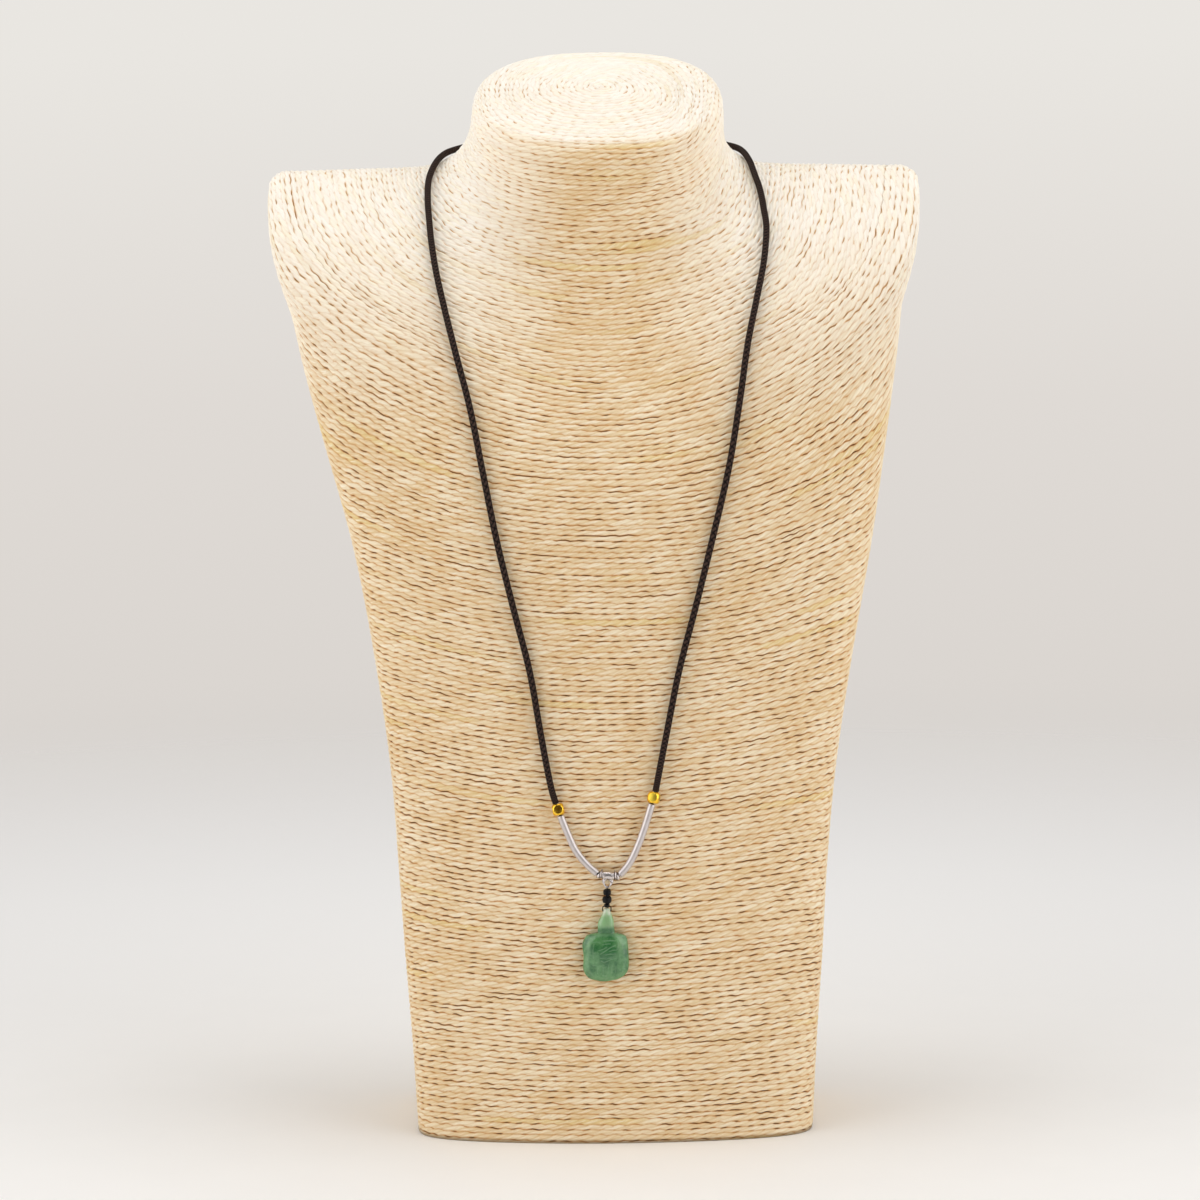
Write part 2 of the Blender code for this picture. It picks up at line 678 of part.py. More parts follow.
def make_core_thread(finish):
    """The thread inside the beads, the tubes and the bail, which carries them all."""
    points = []
    for side in (-1, 1):
        stops, _ = string_run(side)
        steps = 20
        half = [string_point(side, stops["bead_out"] * k / steps)[0] for k in range(1, steps + 1)]
        points.append(half)
    run = points[0][::-1] + [bail_centre()] + points[1]
    add_cord("core_thread", run, CORE_DIAMETER, 2, finish)


def main():
    clear_scene()
    straw = material("straw_rope", (0.80, 0.66, 0.44), 0.8)
    braid = material("black_braid", (0.012, 0.011, 0.012), 0.7)
    gold = material("gold", (0.95, 0.66, 0.10), 0.2, 1.0)
    silver = material("silver", (0.86, 0.86, 0.88), 0.25, 1.0)
    jade = material("jade", (0.10, 0.36, 0.20), 0.25)
    make_bust(straw)
    make_neck_cord(braid)
    make_core_thread(braid)
    make_bead("left_gold_bead", -1, gold)
    make_bead("right_gold_bead", 1, gold)
    make_tube("left_silver_tube", -1, silver)
    make_tube("right_silver_tube", 1, silver)
    make_bail(silver)
    make_knotted_thread(braid)
    make_jade(jade)


main()
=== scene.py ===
import math

import bmesh
import bpy
import numpy as np
from mathutils import Matrix, Vector


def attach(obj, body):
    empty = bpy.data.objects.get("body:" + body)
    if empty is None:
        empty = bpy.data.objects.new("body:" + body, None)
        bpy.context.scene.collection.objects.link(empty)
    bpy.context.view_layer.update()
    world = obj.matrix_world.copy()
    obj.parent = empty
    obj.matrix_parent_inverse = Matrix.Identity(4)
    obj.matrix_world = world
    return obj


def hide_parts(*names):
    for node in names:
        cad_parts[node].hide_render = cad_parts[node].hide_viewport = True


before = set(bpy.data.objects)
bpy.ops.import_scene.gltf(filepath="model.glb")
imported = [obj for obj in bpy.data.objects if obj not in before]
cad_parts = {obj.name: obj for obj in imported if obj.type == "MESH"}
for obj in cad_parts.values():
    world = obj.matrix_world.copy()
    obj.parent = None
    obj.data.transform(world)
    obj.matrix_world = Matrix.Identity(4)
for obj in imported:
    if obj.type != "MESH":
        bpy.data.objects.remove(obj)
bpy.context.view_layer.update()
print("frame loaded")


def addObject(name, data):
    thing = bpy.data.objects.new(name, data)
    bpy.context.scene.collection.objects.link(thing)
    return thing


photoCamera = {
    "place": (-0.0038, -1.65, 0.400),
    "pitch": 7.06,  # degrees below level
    "roll": 0.6,
    "lens": 133.3,
    "sensor": 36.0,
}


def addCamera():
    pitch, roll = math.radians(photoCamera["pitch"]), math.radians(photoCamera["roll"])
    ahead = Vector((0, math.cos(pitch), -math.sin(pitch)))
    up = Vector((0, math.sin(pitch), math.cos(pitch)))
    right = Vector((1, 0, 0))
    across = right * math.cos(roll) - up * math.sin(roll)
    upright = right * math.sin(roll) + up * math.cos(roll)
    data = bpy.data.cameras.new("photoCamera")
    data.lens, data.sensor_width = photoCamera["lens"], photoCamera["sensor"]
    data.clip_start, data.clip_end = 0.05, 200
    camera = addObject("photoCamera", data)
    turned = Matrix((across, upright, -ahead)).transposed().to_4x4()
    camera.matrix_world = Matrix.Translation(photoCamera["place"]) @ turned
    bpy.context.scene.camera = camera


addCamera()
bpy.context.scene.view_settings.view_transform = "Standard"
print("camera set")


def shade(red, green, blue):
    # a colour given on a 0 to 255 scale
    linear = []
    for part in (red, green, blue):
        part /= 255
        linear.append(part / 12.92 if part < 0.04045 else ((part + 0.055) / 1.055) ** 2.4)
    return (*linear, 1.0)


def startFinish(name, sockets):
    finish = bpy.data.materials.new(name)
    finish.use_nodes = True
    shader = finish.node_tree.nodes["Principled BSDF"]
    for key, value in sockets.items():
        shader.inputs[key].default_value = value
    return finish, finish.node_tree, shader


def addNode(tree, kind, inputs, **settings):
    node = tree.nodes.new("ShaderNode" + kind)
    for key, value in settings.items():
        setattr(node, key, value)
    for key, value in inputs.items():
        if isinstance(value, bpy.types.NodeSocket):
            tree.links.new(value, node.inputs[key])
        else:
            node.inputs[key].default_value = value
    return node


def treeOf(*values):
    # the node tree that the sockets among the values belong to
    return next(value.id_data for value in values if isinstance(value, bpy.types.NodeSocket))


def maths(operation, *values, clamp=False):
    inputs = dict(enumerate(values))
    return addNode(treeOf(*values), "Math", inputs, operation=operation, use_clamp=clamp).outputs[0]


def times(first, *others):
    for other in others:
        first = maths("MULTIPLY", first, other)
    return first


def mixColours(factor, *tones):
    # a tone is a socket, a linear colour with its alpha, or three numbers of 0 to 255
    plain = [isinstance(tone, tuple) and len(tone) == 3 for tone in tones]
    first, second = (shade(*tone) if three else tone for tone, three in zip(tones, plain))
    inputs = {0: factor, 6: first, 7: second}
    return addNode(treeOf(factor), "Mix", inputs, data_type="RGBA").outputs[2]


def layOver(colour, layer, *masks):
    # lays a tone over the colour where every mask agrees, as strongly as the layer says
    tone, strength = layer
    return mixColours(times(*masks, strength), colour, tone)


def ramp(value, low, high):
    # 0 at low, 1 at high, smooth between
    inputs = {"Value": value, "From Min": low, "From Max": high}
    return addNode(treeOf(value), "MapRange", inputs, interpolation_type="SMOOTHSTEP").outputs[0]


def cloud(place, scale, detail=3.0, roughness=0.5):
    inputs = {"Vector": place, "Scale": scale, "Detail": detail, "Roughness": roughness}
    return addNode(treeOf(place), "TexNoise", inputs).outputs["Fac"]


def split(vector):
    return addNode(treeOf(vector), "SeparateXYZ", {0: vector}).outputs


def objectPlace(tree, centre=(0, 0, 0)):
    coords = addNode(tree, "TexCoord", {})
    mapping = addNode(tree, "Mapping", {"Vector": coords.outputs["Object"], "Location": centre})
    return mapping.outputs[0]


def markOf(tree, name):
    return addNode(tree, "Attribute", {}, attribute_name=name).outputs["Fac"]


def dress(shader, colour, height, relief):
    tree = shader.id_data
    tree.links.new(colour, shader.inputs["Base Color"])
    bump = addNode(tree, "Bump", {"Height": height, "Distance": relief, "Strength": 1.0})
    tree.links.new(bump.outputs[0], shader.inputs["Normal"])


def meshOf(name, shape):
    mesh = bpy.data.meshes.new(name)
    shape.to_mesh(mesh)
    shape.free()
    return mesh


def markMesh(mesh, name, values, domain="POINT"):
    mark = mesh.attributes.new(name, "FLOAT", domain)
    mark.data.foreach_set("value", values.astype(np.float32))


def readMesh(source, name, size=3, kind=np.float32):
    values = np.empty(len(source) * size, kind)
    source.foreach_get(name, values)
    return values.reshape(-1, size)


def withEdges(verts):
    return verts + list({edge for vert in verts for edge in vert.link_edges})


def spinRound(shape, geom, axis, steps):
    bmesh.ops.spin(
        shape, geom=geom, cent=(0, 0, 0), axis=axis, dvec=(0, 0, 0),
        angle=math.tau, steps=steps, use_merge=True,
    )


def addPiece(name, shape, finish, slot, *nodes):
    if isinstance(shape, bmesh.types.BMesh):
        bmesh.ops.recalc_face_normals(shape, faces=shape.faces)
        shape = meshOf(name, shape)
        shape.shade_smooth()
    piece = addObject(name, shape)
    piece.data.materials.append(finish)
    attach(piece, "root")
    if nodes:
        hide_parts(*nodes)
    return piece


# One ring for each row, as in the frame: front and back depth, front, back and side height,
# reach (-1 the top's middle, 0 the neck, 1 the shoulders, 2 the base), sway, square, bulge, arch
windingRings = (
    (0.08, 0.08, 0.9697, 0.9697, 0.9697, -1, -0.006, 2, 0, 1),
    (-0.119, 0.289, 0.9461, 0.988, 0.9672, -0.532, -0.008, 2.1, 0, 1),
    (-0.246, 0.434, 0.9273, 0.9975, 0.9629, -0.223, -0.01, 2.3, 0, 1),
    (-0.3, 0.5, 0.9183, 1, 0.9596, -0.077, -0.01, 2.5, 0, 1),
    (-0.322, 0.538, 0.9083, 0.9965, 0.9529, -0.017, -0.011, 2.5, 0, 1),
    (-0.314, 0.562, 0.8935, 0.9845, 0.9393, 0, -0.012, 2.4, 0, 1),
    (-0.284, 0.572, 0.8747, 0.9599, 0.9248, 0.008, -0.014, 2.3, 0, 1),
    (-0.249, 0.578, 0.8546, 0.9336, 0.908, 0.043, -0.017, 2.25, 0.02, 1),
    (-0.235, 0.583, 0.8381, 0.911, 0.8977, 0.103, -0.018, 2.25, 0.05, 1),
    (-0.236, 0.587, 0.8206, 0.8885, 0.8922, 0.19, -0.019, 2.35, 0.08, 1),
    (-0.262, 0.591, 0.793, 0.8571, 0.8922, 0.344, -0.019, 2.6, 0.14, 1),
    (-0.303, 0.594, 0.7654, 0.8296, 0.893, 0.502, -0.02, 2.9, 0.19, 1),
    (-0.346, 0.595, 0.7398, 0.8033, 0.893, 0.663, -0.02, 3.2, 0.23, 1),
    (-0.392, 0.595, 0.7135, 0.7769, 0.8927, 0.832, -0.02, 3.5, 0.26, 1),
    (-0.436, 0.594, 0.6875, 0.7506, 0.8905, 0.957, -0.02, 3.8, 0.28, 1),
    (-0.452, 0.593, 0.6774, 0.7406, 0.8837, 0.996, -0.019, 3.9, 0.29, 1.05),
    (-0.466, 0.592, 0.6682, 0.7311, 0.8732, 1, -0.019, 4, 0.3, 1.1),
    (-0.506, 0.589, 0.6356, 0.698, 0.8195, 1.137, -0.017, 4.2, 0.3, 1.3),
    (-0.534, 0.586, 0.6083, 0.6704, 0.7769, 1.206, -0.013, 4.4, 0.3, 1.5),
    (-0.553, 0.58, 0.5714, 0.6341, 0.7206, 1.309, -0.007, 4.8, 0.3, 1.7),
    (-0.56, 0.57, 0.4995, 0.5614, 0.6216, 1.485, 0.003, 5.4, 0.3, 2),
    (-0.56, 0.555, 0.3915, 0.4461, 0.4737, 1.695, 0.004, 6.4, 0.31, 2.2),
    (-0.56, 0.542, 0.3058, 0.3521, 0.3609, 1.815, 0.002, 7, 0.3, 2.3),
    (-0.556, 0.53, 0.2316, 0.2682, 0.2682, 1.873, 0, 7.5, 0.28, 2.4),
    (-0.546, 0.518, 0.1571, 0.183, 0.1779, 1.916, 0, 8, 0.25, 2.4),
    (-0.526, 0.508, 0.0752, 0.0877, 0.0827, 1.966, 0, 8, 0.22, 2.4),
    (-0.5, 0.5, 0, 0, 0, 2, 0, 8, 0.2, 2.4),
)
winding = {
    "height": 0.399, "shoulders": 0.2412, "neck": 0.094, "baseWidth": 0.148, "baseDepth": 0.100,
    "crowding": 0.12,
    "courses": 206,  # turns of rope from the neck's top to the base
    "columns": 480, "frontFavour": 0.2,  # the columns stand closer at the front
    "bands": 6,
    "across": (0.0, 0.2, 0.5, 0.8),  # rows of each course, from its upper groove downwards
    "ply": 0.0052,  # one twist mark along the rope
    "crest": 0.00003, "flank": 0.00019, "grooveLeast": 0.00042, "grooveMore": 0.00060,
    "hump": 0.00022,  # how deep the groove between two twists is
    "lean": 0.55,  # how flat a twist runs along the rope's back
    # painted light: where the straw is painted paler, by height, by distance from the middle and by
    # how far its surface faces up
    "paintedLightHeights": (0.262, 0.337), "paintedLightAside": (0.014, 0.049), "paintedLightUpwards": (0.45, 0.85),
    # waves along the rope: how strong, how long in metres, and their seed
    "twistDrift": ((1.1, 0.06, 1), (0.22, 0.011, 6)),
    "loose": ((0.95, 0.0034, 2), (0.45, 0.019, 3)),
    "stray": ((0.00030, 0.030, 4), (0.00018, 0.008, 5), (0.00022, 0.09, 7)),
    "plyStray": 0.00026,
    "gapLengths": (0.006, 0.013),  # of short and long gaps
    # how slack the turns lie, by the share of the way down
    "slack": ((0.0, 0.10, 0.30, 0.42, 0.75, 0.95), (0.66, 0.66, 0.74, 0.95, 1.0, 1.05)),
    "seed": 7,
    # how the courses sag or rise as they go round: share of the way down, then millimetres for
    # four waves round the bust, each by its cosine less one and its sine
    "lay": (
        (0, 0, 0, 0, 0, 0, 0, 0, 0),
        (0.06, 0.42, -0.07, -0.66, 0.6, -0.75, 0.58, 0.46, -0.79),
        (0.12, -0.67, -1.11, 1.88, -0.12, 1.6, 1.17, -1.67, 0.01),
        (0.16, 0.12, -1.04, 0.86, 0.06, 0.13, 1.22, -0.81, -0.65),
        (0.2, 0.24, -0.72, 1.29, 0.33, 0.25, 1.33, -1.41, -0.5),
        (0.24, 0, -0.85, 2.19, 0.22, 1, 1.5, -2.34, -0.01),
        (0.28, -0.73, -0.86, 2.61, 0.2, 2.06, 1.48, -2.45, -0.08),
        (0.33, -1.52, -0.91, 2.53, 0.24, 2.89, 1.83, -1.93, 0.66),
        (0.4, -0.82, -0.59, -0.85, -0.12, 0.05, 0.61, 1.98, 0.18),
        (0.5, 0.12, -0.52, -3, -0.24, -2.23, 0.29, 4.1, 0.12),
        (0.62, 0.39, -0.03, -2.72, 0.35, -2.27, 0.51, 3.47, -0.54),
        (0.78, 0.05, 0.19, -1.5, 0.32, -1.21, 0.1, 2.17, -0.76),
        (0.92, -0.27, 0, -0.82, -0.01, -0.44, 0.03, 1.49, 0.11),
        (1, 0, 0, 0, 0, 0, 0, 0, 0),
    ),
}


def ringTable():
    rows = np.array(windingRings)
    half = (0, winding["neck"] / 2, winding["shoulders"] / 2, winding["baseWidth"] / 2)
    rows[:, 0:2] *= winding["baseDepth"]
    rows[:, 2:5] *= winding["height"]
    rows[:, 5] = np.interp(rows[:, 5], (-1, 0, 1, 2), half)
    rows[:, 6] *= winding["shoulders"]
    steps = np.hypot(np.diff(rows[:, 0]), np.diff(rows[:, 2]))
    rises = np.diff(rows, axis=0) / steps[:, None]
    before, after = steps[:-1, None], steps[1:, None]
    inner = (rises[:-1] * after + rises[1:] * before) / (before + after)
    return np.concatenate([[0], np.cumsum(steps)]), rows, np.vstack([rises[:1], inner, rises[-1:]])


ringDown, ringRows, ringSlopes = ringTable()
frontLength = ringDown[-1]


def windingPoint(down, turn):
    # points on the bust, this far down its front and this far round from the front
    down = np.clip(down, 0, frontLength)
    i = np.clip(np.searchsorted(ringDown, down) - 1, 0, len(ringDown) - 2)
    step = (ringDown[i + 1] - ringDown[i])[..., None]
    u = (down - ringDown[i])[..., None] / step
    values = (
        (2 * u ** 3 - 3 * u ** 2 + 1) * ringRows[i] + (3 * u ** 2 - 2 * u ** 3) * ringRows[i + 1]
        + (u ** 3 - 2 * u ** 2 + u) * step * ringSlopes[i]
        + (u ** 3 - u ** 2) * step * ringSlopes[i + 1]
    )
    values = np.moveaxis(values, -1, 0)
    frontY, backY, frontZ, backZ, sideZ, halfWidth, sway, square, bulge, arch = values
    angle = turn + winding["crowding"] * np.sin(4 * turn)
    c, s = np.cos(angle), np.sin(angle)
    radius = (np.abs(c) ** square + np.abs(s) ** square) ** (-1 / square)
    across = s * radius
    forward = c * radius * (1 - bulge * across ** 2)
    level = 1 - np.abs(s) ** (2 * arch)
    return np.stack([
        sway + halfWidth * across,
        (frontY + backY) / 2 - (backY - frontY) / 2 * forward,
        sideZ + (frontZ - backZ) / 2 * forward + ((frontZ + backZ) / 2 - sideZ) * level,
    ], axis=-1)


def laidAt(down, turn):
    # where a course that starts this far down really runs
    lay = np.array(winding["lay"]).T
    moved = down * 1.0
    for wave in range(1, 5):
        risen, swung = (np.interp(down / frontLength, lay[0], lay[2 * wave - k]) for k in (1, 0))
        moved += (risen * (np.cos(wave * turn) - 1) + swung * np.sin(wave * turn)) / 1000
    return moved


def windingNormal(down, turn):
    down = np.clip(down, 0.0008, frontLength)
    around = windingPoint(down, turn + 0.002) - windingPoint(down, turn - 0.002)
    below = windingPoint(down + 0.0002, turn) - windingPoint(down - 0.0002, turn)
    out = np.cross(below, around)
    return out / np.linalg.norm(out, axis=-1, keepdims=True)


neckCord = {
    "diameter": 0.0024,
    "lift": 0.0024 / 2 + 0.0006,  # its middle over the winding
    "leftEnd": ((-0.02061, -0.05729, 0.12847), (-0.02253, -0.05711, 0.13544)),
    "rightEnd": ((0.01702, -0.05779, 0.13966), (0.01564, -0.05788, 0.13264)),
    "steps": 8,
    "strands": (420.0, 3.0),  # braid marks along it and around it
    # from the painted shade between the strands to the painted light on their crowns
    "tones": ((4, 2, 2), (68, 52, 46)),
    "relief": 0.00018, "gloss": {"Roughness": 0.7, "Specular IOR Level": 0.1},
    # shares of the way down the front, and degrees round from it
    "route": (
        (0.632, -11.8), (0.577, -12.9), (0.522, -14.3), (0.467, -14.8), (0.412, -14.8),
        (0.365, -14.9), (0.326, -17.8), (0.294, -22.5), (0.2675, -29.7), (0.2455, -41.2),
        (0.23, -54.3), (0.2165, -67), (0.205, -79), (0.196, -91), (0.191, -103),
        (0.187, -116), (0.183, -131), (0.1805, -147), (0.18, -164), (0.18, -181),
        (0.18, -198), (0.181, -214), (0.1835, -228.5), (0.186, -242), (0.189, -256.5),
        (0.193, -269.5), (0.202, -281), (0.213, -289), (0.227, -299.3), (0.243, -309.9),
        (0.266, -325.1), (0.294, -334.9), (0.327, -340.2), (0.365, -342.8), (0.412, -343.6),
        (0.467, -345.8), (0.522, -348.1), (0.577, -350.2), (0.632, -351.7),
    ),
}


def smoothRun(points, steps):
    # a Catmull-Rom run through the points
    run = []
    last = len(points) - 1
    for i in range(last):
        before, start = points[max(i - 1, 0)], points[i]
        end, after = points[i + 1], points[min(i + 2, last)]
        for k in range(steps):
            u = k / steps
            run.append(
                0.5 * (2 * start + (end - before) * u
                + (2 * before - 5 * start + 4 * end - after) * u * u
                + (3 * start - before - 3 * end + after) * u ** 3)
            )
    run.append(points[last])
    return run


def braidFinish():
    # a fine black braid, whose marks follow the cord's own length; its colour is painted lighter on
    # each strand's crown and darker in the dips between strands, as painted light and shade
    finish, tree, shader = startFinish("blackBraid", neckCord["gloss"])
    parts = split(addNode(tree, "UVMap", {}).outputs[0])
    along, around = (times(part, count) for part, count in zip(parts, neckCord["strands"]))
    right, left = maths("ADD", along, around), maths("SUBTRACT", along, around)
    rise, fall = (maths("SINE", times(maths("FRACT", way), math.pi)) for way in (right, left))
    parity = maths("ADD", maths("FLOOR", right), maths("FLOOR", left))
    over = maths("PINGPONG", parity, 1.0)
    strand = maths("ADD", times(rise, over), times(fall, maths("SUBTRACT", 1.0, over)))
    fuzz = cloud(objectPlace(tree), 2600, 2)
    tone = maths("MULTIPLY", strand, maths("MULTIPLY_ADD", fuzz, 0.8, 0.5), clamp=True)
    colour = mixColours(ramp(tone, 0.30, 0.95), *neckCord["tones"])
    dress(shader, colour, maths("MULTIPLY_ADD", fuzz, 0.3, strand), neckCord["relief"])
    return finish


def makeNeckCord(finish):
    shares, turns = np.array(neckCord["route"]).T
    down, turn = shares * frontLength, np.radians(turns)
    chosen = windingPoint(down, turn) + neckCord["lift"] * windingNormal(down, turn)
    points = [Vector(p) for p in (*neckCord["leftEnd"], *chosen, *neckCord["rightEnd"])]
    run = smoothRun(points, neckCord["steps"])
    curve = bpy.data.curves.new("braidedNeckCord", "CURVE")
    curve.dimensions = "3D"
    curve.bevel_depth = neckCord["diameter"] / 2
    curve.bevel_resolution = 6
    curve.use_fill_caps = True
    spline = curve.splines.new("POLY")
    spline.points.add(len(run) - 1)
    for slot, point in zip(spline.points, run):
        slot.co = (*point, 1.0)
    spline.use_smooth = True
    cord = addPiece("braidedNeckCord", curve, finish, "black_braid", "neck_cord")


blackBraid = braidFinish()
makeNeckCord(blackBraid)
print("neck cord laid")


def ripple(along, length, seed):
    # a smooth random wave of -1 to 1 along the rope, with a knot every length
    draws = np.random.default_rng(winding["seed"] + seed)
    knots = draws.uniform(-1, 1, int(along.max() / length) + 3)
    place = along / length
    i = np.floor(place).astype(int)
    u = place - i
    u = u * u * (3 - 2 * u)
    return knots[i] * (1 - u) + knots[i + 1] * u


def ripples(waves):
    return sum(strength * ripple(ropeAlong, length, seed) for strength, length, seed in waves)


pitch = frontLength / winding["courses"]
turnSteps = np.arange(winding["columns"] + 1) / winding["columns"]
turnSteps += winding["frontFavour"] * np.sin(math.tau * turnSteps) / math.tau


def ropeRun():
    # how much rope is wound on before each column of each course
    courses = np.arange(winding["courses"] + 2)[:, None]
    turn = math.pi + math.tau * turnSteps[None]
    middles = windingPoint(laidAt(pitch * (courses + turnSteps - 0.5), turn), turn)
    steps = np.linalg.norm(np.diff(middles, axis=1), axis=-1)
    along = np.concatenate([np.zeros((len(steps), 1)), np.cumsum(steps, axis=1)], axis=1)
    along[1:] += np.cumsum(along[:-1, -1])[:, None]
    return along


ropeAlong = ropeRun()
ropePhase = ropeAlong / winding["ply"] + ripples(winding["twistDrift"])


def grooveShapes():
    # the groove over each course: how far it opens, and how far it strays up or down
    swell = 0.5 - 0.5 * np.cos(math.tau * ropePhase)
    above = np.vstack([swell[:1], swell[:-1]])
    pinch = 1 - 0.5 * (swell + above)
    loose = ripples(winding["loose"])
    # the turns lie looser further down, and now and then two stand well apart for a while
    done = np.arange(len(swell)) / winding["courses"]
    slack = np.interp(done, *winding["slack"])[:, None]
    needed = 0.44 + 0.40 * (1 - np.minimum(slack, 1))
    opening = np.clip((pinch + 0.55 * loose - needed) / 0.56, 0, 1)
    short, long = winding["gapLengths"]
    apart = np.clip((ripple(ropeAlong, short, 8) - 0.76) / 0.16, 0, 1)
    parted = np.clip((ripple(ropeAlong, long, 9) - 0.86) / 0.06, 0, 1)
    parted *= np.clip(3 * slack - 2, 0, 1)
    opening = opening * (0.4 + 0.6 * slack) + 0.8 * apart * pinch * slack ** 2
    opening = np.maximum(np.clip(opening, 0, 1), parted)
    return opening, winding["plyStray"] * (above - swell) + ripples(winding["stray"])


grooveOpening, grooveStray = grooveShapes()


def windBand(name, first, last, finish):
    # one band of courses, whose columns step down a course for each turn round
    perCourse, columns = len(winding["across"]), winding["columns"]
    rows = (last - first) * perCourse
    shape = bmesh.new()
    bmesh.ops.create_grid(shape, x_segments=columns, y_segments=rows, size=0.5)
    mesh = meshOf(name, shape)
    flat = readMesh(mesh.vertices, "co")
    column = np.rint((flat[:, 0] + 0.5) * columns).astype(int)
    row = np.rint((0.5 - flat[:, 1]) * rows).astype(int)
    course, place = first + row // perCourse, row % perCourse
    share = np.array(winding["across"])[place]
    groove = place == 0
    opening = np.where(groove, grooveOpening[course, column], 0)
    below = np.minimum(course + 1, winding["courses"] + 1)
    stray = (1 - share) * grooveStray[course, column] + share * grooveStray[below, column]
    down = pitch * (course + turnSteps[column] - 1 + share)
    turn = math.pi + math.tau * turnSteps[column]
    held = (down > 0) & (down < frontLength - 1e-6)
    down = np.where(held, np.clip(laidAt(down, turn) + stray, 0, frontLength), down)
    phase = ropePhase[course, column]
    slant = share - winding["lean"] * np.sin(math.tau * share) / math.tau
    hump = np.abs(np.sin(math.pi * (phase + slant)))
    sunk = np.select(
        [groove, place == 2],
        [
            winding["grooveLeast"] + winding["grooveMore"] * opening,
            winding["crest"] + 0.35 * winding["hump"] * (1 - hump),
        ],
        winding["flank"] + winding["hump"] * (1 - hump),
    )
    sunk = np.where(held, sunk, 0.0003)
    out = windingNormal(down, turn)
    points = windingPoint(down, turn) - sunk[:, None] * out
    mesh.vertices.foreach_set("co", points.astype(np.float32).ravel())
    # painted light: the straw is painted paler on the top, the neck's sides and the upward-facing
    # shoulders, where light falls strongest
    high = np.interp(points[:, 2], winding["paintedLightHeights"], (0, 1))
    aside = np.interp(np.abs(points[:, 0]), winding["paintedLightAside"], (0, 1))
    paintedLight = np.maximum(high * aside, np.interp(out[:, 2], winding["paintedLightUpwards"], (0, 1)))
    # painted shade in every groove between courses, darker where two courses stand apart, less
    # where painted light falls
    gapShade = np.where(groove, (0.34 - 0.16 * paintedLight + 0.66 * opening) * (1 - 0.12 * paintedLight), 0)
    markMesh(mesh, "gapShade", gapShade)
    markMesh(mesh, "paintedLight", paintedLight)
    # every face has four corners here
    corner = readMesh(mesh.loops, "vertex_index", 1, np.int32).reshape(-1, 4)
    faceRow = row[corner].min(axis=1)
    faceCourse = first + faceRow // perCourse
    cornerRow = row[corner] - (faceCourse - first)[:, None] * perCourse
    shares = np.array((*winding["across"], 1.0))[cornerRow]
    uv = np.stack([ropePhase[faceCourse[:, None], column[corner]], shares], axis=-1)
    mesh.uv_layers.new(name="rope").data.foreach_set("uv", uv.astype(np.float32).ravel())
    shape = bmesh.new()
    shape.from_mesh(mesh)
    bmesh.ops.remove_doubles(shape, verts=shape.verts, dist=2e-6)
    edges = [edge for edge in shape.edges if edge.is_boundary]
    lids = bmesh.ops.holes_fill(shape, edges=edges, sides=0)["faces"]
    bmesh.ops.poke(shape, faces=lids)
    return addPiece(name, shape, finish, "straw_rope", "neck_bust")


straw = {
    "cream": ((231, 205, 162), (238, 217, 180)),  # it wanders between these from patch to patch
    "paintedLight": (254, 248, 237), "paintedLightKeeps": 0.42,  # how much of its marks the straw keeps where it is painted pale as painted light
    "fibresAlong": 0.8, "fibresAcross": 7.0,
    # tones laid over it, and how strongly
    "paler": ((251, 240, 214), 0.5), "browner": ((220, 186, 130), 0.28),
    "yellow": ((228, 200, 124), 0.5), "streaks": ((212, 172, 114), 0.50),
    # a painted highlight on each ply's crest, and painted shade on each ply's underside
    "crestHighlight": ((255, 246, 226), 0.85), "under": ((210, 158, 98), 0.55),
    # painted shade in the seams between twists and in the grooves between courses, and a painted
    # shadow at the foot
    "seamShade": ((204, 150, 90), 1.0), "deepGrooveShadow": ((56, 28, 14), 1.0), "foot": ((96, 74, 44), 0.7),
    "grooveEdgeShade": ((198, 140, 78), (222, 178, 124)),  # painted shade at the groove's edge, and its paler tone where painted light falls
    "relief": 0.00016, "gloss": {"Roughness": 0.7, "Specular IOR Level": 0.35},
}


